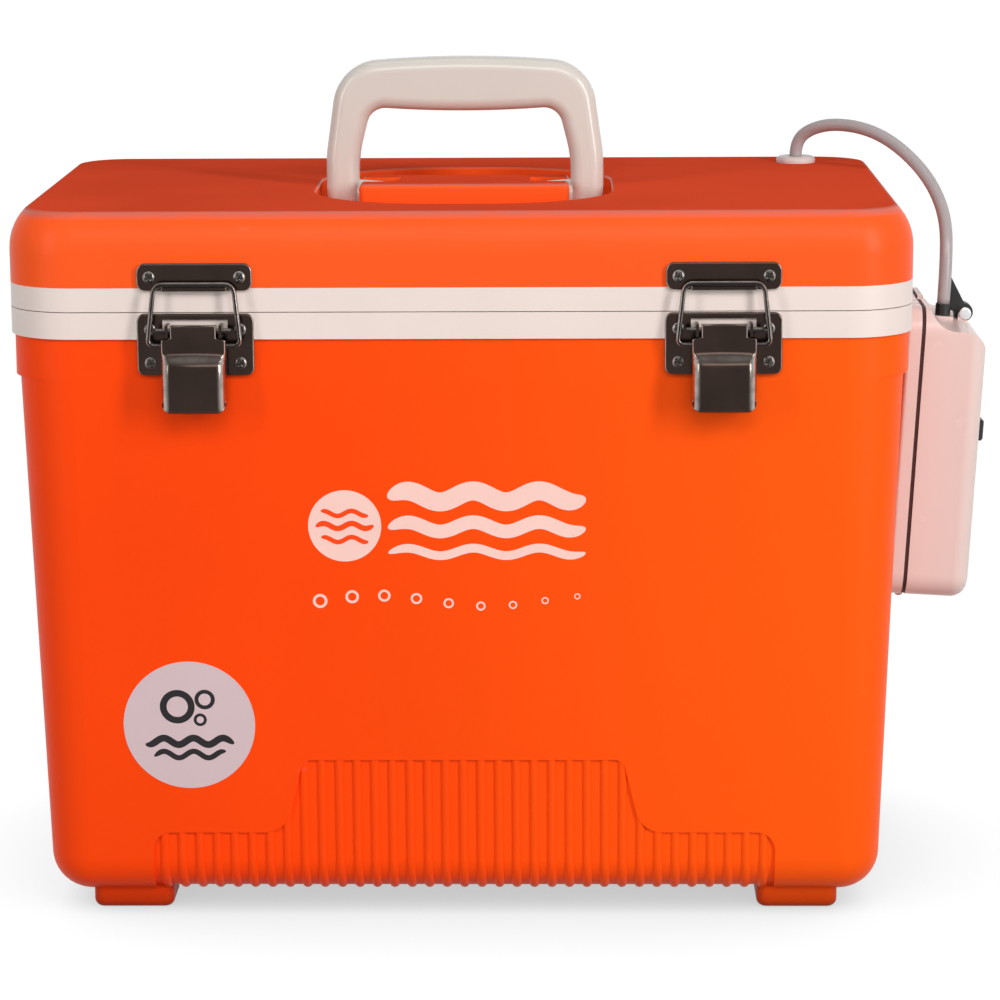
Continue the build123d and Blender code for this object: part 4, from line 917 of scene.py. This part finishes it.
def domed_screws(node, plate, material, body):
    """Round-headed screws with a cross recess, in each plate's corners.

    Each is a profile turned round its axis: shank, flat underside and a dome that falls with the
    square of the radius, and near the edge with its tenth power.  The recess lowers the dome near
    two crossed lines through its middle, at an angle of its own on each screw.
    """
    low, high = node_box(node)
    inset = low[0] + SCREW_HEAD - node_box(f"{plate}_left")[0][0]
    angle = full_turn(SCREW_STEPS)[None, :]
    under = (0.0, SCREW_SHANK, SCREW_SHANK, SCREW_UNDERSIDE)
    radius = np.concatenate([under, np.linspace(SCREW_HEAD, 0.0, SCREW_RINGS)])[:, None]
    share = radius / SCREW_HEAD
    dome, edge = DOME_SHARES
    depth = SCREW_RISE * (dome * share**2 + edge * share**10)
    shank_end = high[1] - low[1] - SCREW_GAP
    underside = SCREW_RISE - SCREW_GAP
    depth[: len(under), 0] = (shank_end, shank_end, underside, underside)
    domed = np.arange(len(radius))[:, None] >= len(under)
    levels = sorted({round(low[2] + SCREW_HEAD, 6), round(high[2] - SCREW_HEAD, 6)})
    skin = Skin()
    for side in SIDES:
        plate_low, plate_high = node_box(f"{plate}_{side}")
        for x in (plate_low[0] + inset, plate_high[0] - inset):
            for z in levels:
                turn = CROSS_TURNS @ (x, z)
                across = np.abs(radius * np.cos(angle + turn))
                along = np.abs(radius * np.sin(angle + turn))
                recess = 1.0 - ramp(np.minimum(across, along), *CROSS_WIDTHS)
                recess = recess * (1.0 - ramp(np.maximum(across, along), *CROSS_REACHES))
                y = low[1] + depth + domed * recess * CROSS_DEPTH
                around = [x + radius * np.cos(angle), y, z + radius * np.sin(angle)]
                skin.add(np.stack(around, axis=-1), wrap_columns=True)
    screws = skin.make(f"{node}_domed", material)
    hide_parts(node)
    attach(screws, body)


# ---------------------------------------------------------------- stage
def seen_directly(graph):
    """1 for rays from the camera, off gloss and through clear pieces."""
    camera, gloss, clear = (
        graph.node("ShaderNodeLightPath", output=f"Is {ray} Ray")
        for ray in ("Camera", "Glossy", "Transmission")
    )
    return (camera + gloss + clear).math("MINIMUM", 1.0)


def make_floor():
    """White floor that lights evenly, with the soft grey shade of what stands over it."""
    graph = Graph(bpy.data.materials.new("floor_white"))
    reach = {"Distance": SHADE_REACH}
    open_sky = graph.node("ShaderNodeAmbientOcclusion", {"samples": 24}, reach, output="AO")
    strength = open_sky.step(*SHADE_STEP) * (OPEN_FLOOR - SHADED_FLOOR) + SHADED_FLOOR
    diffuse = graph.node("ShaderNodeBsdfDiffuse", None, {"Color": rgba(WHITE, FLOOR_GREY)})
    glow = {"Color": rgba(WHITE), "Strength": strength}
    shown = graph.node("ShaderNodeEmission", None, glow)
    material = graph.surface(graph.mix_shaders(seen_directly(graph), diffuse, shown))
    x, y = np.meshgrid([-FLOOR_HALF, FLOOR_HALF], [-FLOOR_HALF, FLOOR_HALF], indexing="ij")
    corners = np.stack([x, y, np.zeros_like(x)], axis=-1)
    Skin().add(corners).make("floor", material, smooth=False)


def make_world():
    """World that lights softly, less from above, and shows white."""
    world = bpy.data.worlds.new("studio")
    bpy.context.scene.world = world
    graph = Graph(world)
    lift = graph.axis(graph.node("ShaderNodeTexCoord", output="Generated"), 2)
    lit = SKY_SIDE - lift.step(0.1, 0.9) * (SKY_SIDE - SKY_TOP)
    strength = seen_directly(graph) * (1.0 - lit) + lit
    shown = {"Color": rgba(WHITE), "Strength": strength}
    background = graph.node("ShaderNodeBackground", None, shown)
    graph.node("ShaderNodeOutputWorld", None, {"Surface": background})


def make_lamps():
    """Upright strips at both sides in front, a wide soft one over the camera and a weak top one."""
    for name, place, width, height, power in LAMPS:
        light = bpy.data.lights.new(name, "AREA")
        light.shape = "RECTANGLE"
        light.size = width
        light.size_y = height
        light.energy = power
        lamp = bpy.data.objects.new(name, light)
        turn = (LAMP_AIM - Vector(place)).to_track_quat("-Z", "Y").to_matrix().to_4x4()
        lamp.matrix_world = Matrix.Translation(place) @ turn
        bpy.context.scene.collection.objects.link(lamp)


def make_camera():
    """Long lens a little above the lid, looking down at the front."""
    data = bpy.data.cameras.new("camera")
    data.lens = CAMERA_LENS
    data.sensor_width = CAMERA_SENSOR
    data.sensor_fit = "HORIZONTAL"
    data.clip_end = CAMERA_FAR
    level = np.cos(CAMERA_PITCH)
    forward = Vector(
        (np.sin(CAMERA_YAW) * level, np.cos(CAMERA_YAW) * level, -np.sin(CAMERA_PITCH))
    )
    right = Vector((np.cos(CAMERA_YAW), -np.sin(CAMERA_YAW), 0.0))
    up = right.cross(forward)
    rolled_right = right * np.cos(CAMERA_ROLL) + up * np.sin(CAMERA_ROLL)
    rolled_up = up * np.cos(CAMERA_ROLL) - right * np.sin(CAMERA_ROLL)
    turn = Matrix((rolled_right, rolled_up, -forward)).transposed().to_4x4()
    camera = bpy.data.objects.new("camera", data)
    camera.matrix_world = Matrix.Translation(CAMERA_PLACE) @ turn
    bpy.context.scene.collection.objects.link(camera)
    bpy.context.scene.camera = camera
    bpy.context.scene.view_settings.view_transform = "Standard"


# ---------------------------------------------------------------- operators
class BUCKET_OT_stage(Operator):
    """Makes the pale floor, the white surroundings, the soft lamps and the camera"""

    bl_idname = "bait_bucket.stage"
    bl_label = "Stage"

    def execute(self, context):
        make_floor()
        make_world()
        make_lamps()
        make_camera()
        return {"FINISHED"}


class BUCKET_OT_hoses(Operator):
    """Makes the hose from the pump to the lid and the hose from the lid down to the air stone"""

    bl_idname = "bait_bucket.hoses"
    bl_label = "Hoses and air stone"

    def execute(self, context):
        bucket = context.scene.bait_bucket
        clear = vinyl("clear_vinyl", bucket.colors.hose)
        diameter = bucket.sizes.hose_diameter
        for name, route, first, last, far_end, carried in (
            ("hose_outer", OUTER_HOSE, "tub", "lid", "object", []),
            ("hose_inner", INNER_HOSE, "lid", "tub", "fitting", ["air_stone"]),
        ):
            line = curve_line(name, route, HOSE_RESOLUTION)
            grid = tube_grid(line, diameter / 2, bucket.sizes.round_steps)
            skin = Skin().add(grid, wrap_columns=True)
            for end in (0, -1):
                cap = np.stack([grid[end], np.broadcast_to(line[end], grid[end].shape)])
                skin.add(cap, wrap_columns=True)
            hose = skin.make(f"{name}_tube", clear)
            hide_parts(name)
            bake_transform(hose)
        dress(rigid_foam("porous_stone", STONE_BLUE), "air_stone")
        return {"FINISHED"}


class BUCKET_OT_tub(Operator):
    """Finishes the tub, its liner, its insulation and the wedge under the pump"""

    bl_idname = "bait_bucket.tub"
    bl_label = "Tub"

    def execute(self, context):
        colors = context.scene.bait_bucket.colors
        # The tub's orange carries painted light towards its right and painted shade near the
        # ground.
        orange = moulded_plastic(
            "tub_orange", colors.tub, roughness=0.42, specular=0.12, painted_light_and_shade=True
        )
        dress(orange, "tub_shell", "pump_bracket")
        cream = moulded_plastic("liner_cream", colors.liner, roughness=0.36, specular=0.30)
        dress(cream, "tub_liner")
        dress(rigid_foam("tub_insulation", FOAM_YELLOW), "tub_foam")
        return {"FINISHED"}


class BUCKET_OT_lid(Operator):
    """Finishes the lid, its liner, its insulation, its seal and the grommet"""

    bl_idname = "bait_bucket.lid"
    bl_label = "Lid"

    def execute(self, context):
        colors = context.scene.bait_bucket.colors
        # The lid's crease carries a painted highlight and its roof painted shade.
        orange = lid_plastic_with_painted_light(
            "lid_orange", colors.lid, CREASE_HIGHLIGHT_PINK, ROOF_SHADE_ORANGE, roughness=0.36, specular=0.11
        )
        cream = moulded_plastic("lid_liner_cream", colors.liner, roughness=0.36, specular=0.30)
        white = moulded_plastic("grommet_white", GROMMET_WHITE, roughness=0.4, specular=0.3)
        dress(orange, "lid_shell")
        dress(cream, "lid_liner")
        dress(rigid_foam("lid_insulation", FOAM_YELLOW), "lid_foam")
        dress(soft_rubber("seal_rubber", SOFT_BLACK), "lid_gasket")
        dress(white, "hose_grommet")
        return {"FINISHED"}


class BUCKET_OT_handle(Operator):
    """Finishes the carrying handle and its axle"""

    bl_idname = "bait_bucket.handle"
    bl_label = "Carrying handle"

    def execute(self, context):
        colors = context.scene.bait_bucket.colors
        cream = moulded_plastic("handle_cream", colors.handle, roughness=0.22, specular=0.50)
        dress(cream, "handle")
        dress(plated_metal("axle_steel", DULL_STEEL, roughness=0.22), "handle_axle")
        return {"FINISHED"}


class BUCKET_OT_latches(Operator):
    """Makes the two latch levers and finishes the draw latches and their screws"""

    bl_idname = "bait_bucket.latches"
    bl_label = "Latches"

    def execute(self, context):
        colors = context.scene.bait_bucket.colors
        # The latches' plating carries painted highlights on its sides, tops and undersides.
        nickel = black_nickel(
            "black_nickel", colors.nickel, NICKEL_HIGHLIGHT, side_share=0.95, top_share=0.22
        )
        wire = black_nickel(
            "wire_nickel", WIRE_NICKEL, NICKEL_HIGHLIGHT, side_share=0.62, top_share=0.50
        )
        screw_nickel = black_nickel(
            "screw_nickel", SCREW_NICKEL, SCREW_HIGHLIGHT, side_share=0.62, top_share=0.62
        )
        for side in SIDES:
            latch_lever(side, nickel)
            dress(nickel, f"latch_keeper_{side}", f"latch_base_{side}")
            dress(wire, f"latch_bail_{side}", f"latch_pin_{side}")
        domed_screws("keeper_screws", "latch_keeper", screw_nickel, "lid")
        domed_screws("latch_base_screws", "latch_base", screw_nickel, "tub")
        return {"FINISHED"}


class BUCKET_OT_hinges(Operator):
    """Finishes the two rear hinges, their screws and the bracket's screws"""

    bl_idname = "bait_bucket.hinges"
    bl_label = "Rear hinges"

    def execute(self, context):
        steel = plated_metal("hinge_steel", HINGE_STEEL, roughness=0.25, brush=0.10)
        for side in SIDES:
            dress(steel, f"hinge_leaf_tub_{side}", f"hinge_leaf_lid_{side}", f"hinge_pin_{side}")
        dress(steel, "hinge_screws_tub", "hinge_screws_lid", "bracket_screws")
        return {"FINISHED"}


class BUCKET_OT_pump_case(Operator):
    """Finishes the air pump's case, catch, switch and nozzle"""

    bl_idname = "bait_bucket.pump_case"
    bl_label = "Air pump case"

    def execute(self, context):
        colors = context.scene.bait_bucket.colors
        case = moulded_plastic(
            "pump_case_pink", colors.pump, roughness=0.26, specular=0.35, scuffing=0.0
        )
        black = moulded_plastic("black_plastic", colors.black, roughness=0.35, specular=0.40)
        dress(case, "pump_cover", "pump_back_shell")
        dress(black, "catch_lever", "power_switch", "hose_nozzle")
        dress(soft_rubber("case_seal", CASE_SEAL_BROWN), "case_gasket", "diaphragm")
        dress(plated_metal("bright_chrome", CHROME, roughness=0.06), "catch_bar")
        dress(plated_metal("case_pin_steel", PIN_STEEL, roughness=0.2), "case_hinge_pin")
        return {"FINISHED"}


class BUCKET_OT_pump_drive(Operator):
    """Finishes the cells, motor, chassis and air chamber inside the pump's case"""

    bl_idname = "bait_bucket.pump_drive"
    bl_label = "Air pump drive"

    def execute(self, context):
        for name, color, roughness, specular, nodes in (
            ("chassis_grey", CHASSIS_GREY, 0.5, 0.3, ["pump_chassis"]),
            ("chamber_grey", CHAMBER_GREY, 0.5, 0.3, ["air_chamber"]),
            ("drive_black", SOFT_BLACK, 0.4, 0.3, ["crank_link", "motor_crank"]),
            ("cell_jacket", CELL_BLUE, 0.3, 0.4, ["batteries"]),
        ):
            dress(moulded_plastic(name, color, roughness, specular), *nodes)
        for name, color, roughness, brush, node in (
            ("motor_steel", DULL_STEEL, 0.28, 0.15, "motor"),
            ("contact_brass", BRASS, 0.2, 0.0, "battery_contacts"),
            ("spring_steel", SPRING_STEEL, 0.2, 0.0, "battery_springs"),
        ):
            dress(plated_metal(name, color, roughness, brush), node)
        return {"FINISHED"}


class BUCKET_OT_prints(Operator):
    """Makes the pale print on the front wall and the round sticker"""

    bl_idname = "bait_bucket.prints"
    bl_label = "Front print and sticker"

    def execute(self, context):
        bucket = context.scene.bait_bucket
        front_print(bucket.colors, bucket.sizes.print_lift)
        disc_waves(bucket.colors, bucket.sizes.print_lift)
        round_sticker(bucket.colors, bucket.sizes.sticker_radius)
        sticker_motif()
        return {"FINISHED"}


STEPS = (
    BUCKET_OT_stage,
    BUCKET_OT_hoses,
    BUCKET_OT_tub,
    BUCKET_OT_lid,
    BUCKET_OT_handle,
    BUCKET_OT_latches,
    BUCKET_OT_hinges,
    BUCKET_OT_pump_case,
    BUCKET_OT_pump_drive,
    BUCKET_OT_prints,
)


class BUCKET_PT_sidebar(Panel):
    """Lists the bucket's steps and settings in the 3D view's sidebar"""

    bl_label = "Bait Bucket"
    bl_idname = "BUCKET_PT_sidebar"
    bl_space_type = "VIEW_3D"
    bl_region_type = "UI"
    bl_category = "Bait Bucket"

    def draw(self, context):
        bucket = context.scene.bait_bucket
        for step in STEPS:
            self.layout.operator(step.bl_idname)
        for group in (bucket.colors, bucket.sizes):
            for key in group.__annotations__:
                self.layout.prop(group, key)


CLASSES = (BucketColors, BucketSizes, BucketSettings, *STEPS, BUCKET_PT_sidebar)


def register():
    """Registers the classes and the scene's settings."""
    for cls in CLASSES:
        bpy.utils.register_class(cls)
    bpy.types.Scene.bait_bucket = PointerProperty(type=BucketSettings)


def unregister():
    """Takes the settings and the classes away again."""
    del bpy.types.Scene.bait_bucket
    for cls in reversed(CLASSES):
        bpy.utils.unregister_class(cls)


def main():
    """Builds every piece in order."""
    register()
    for step in STEPS:
        group, name = step.bl_idname.split(".")
        getattr(getattr(bpy.ops, group), name)()


if __name__ == "__main__":
    main()
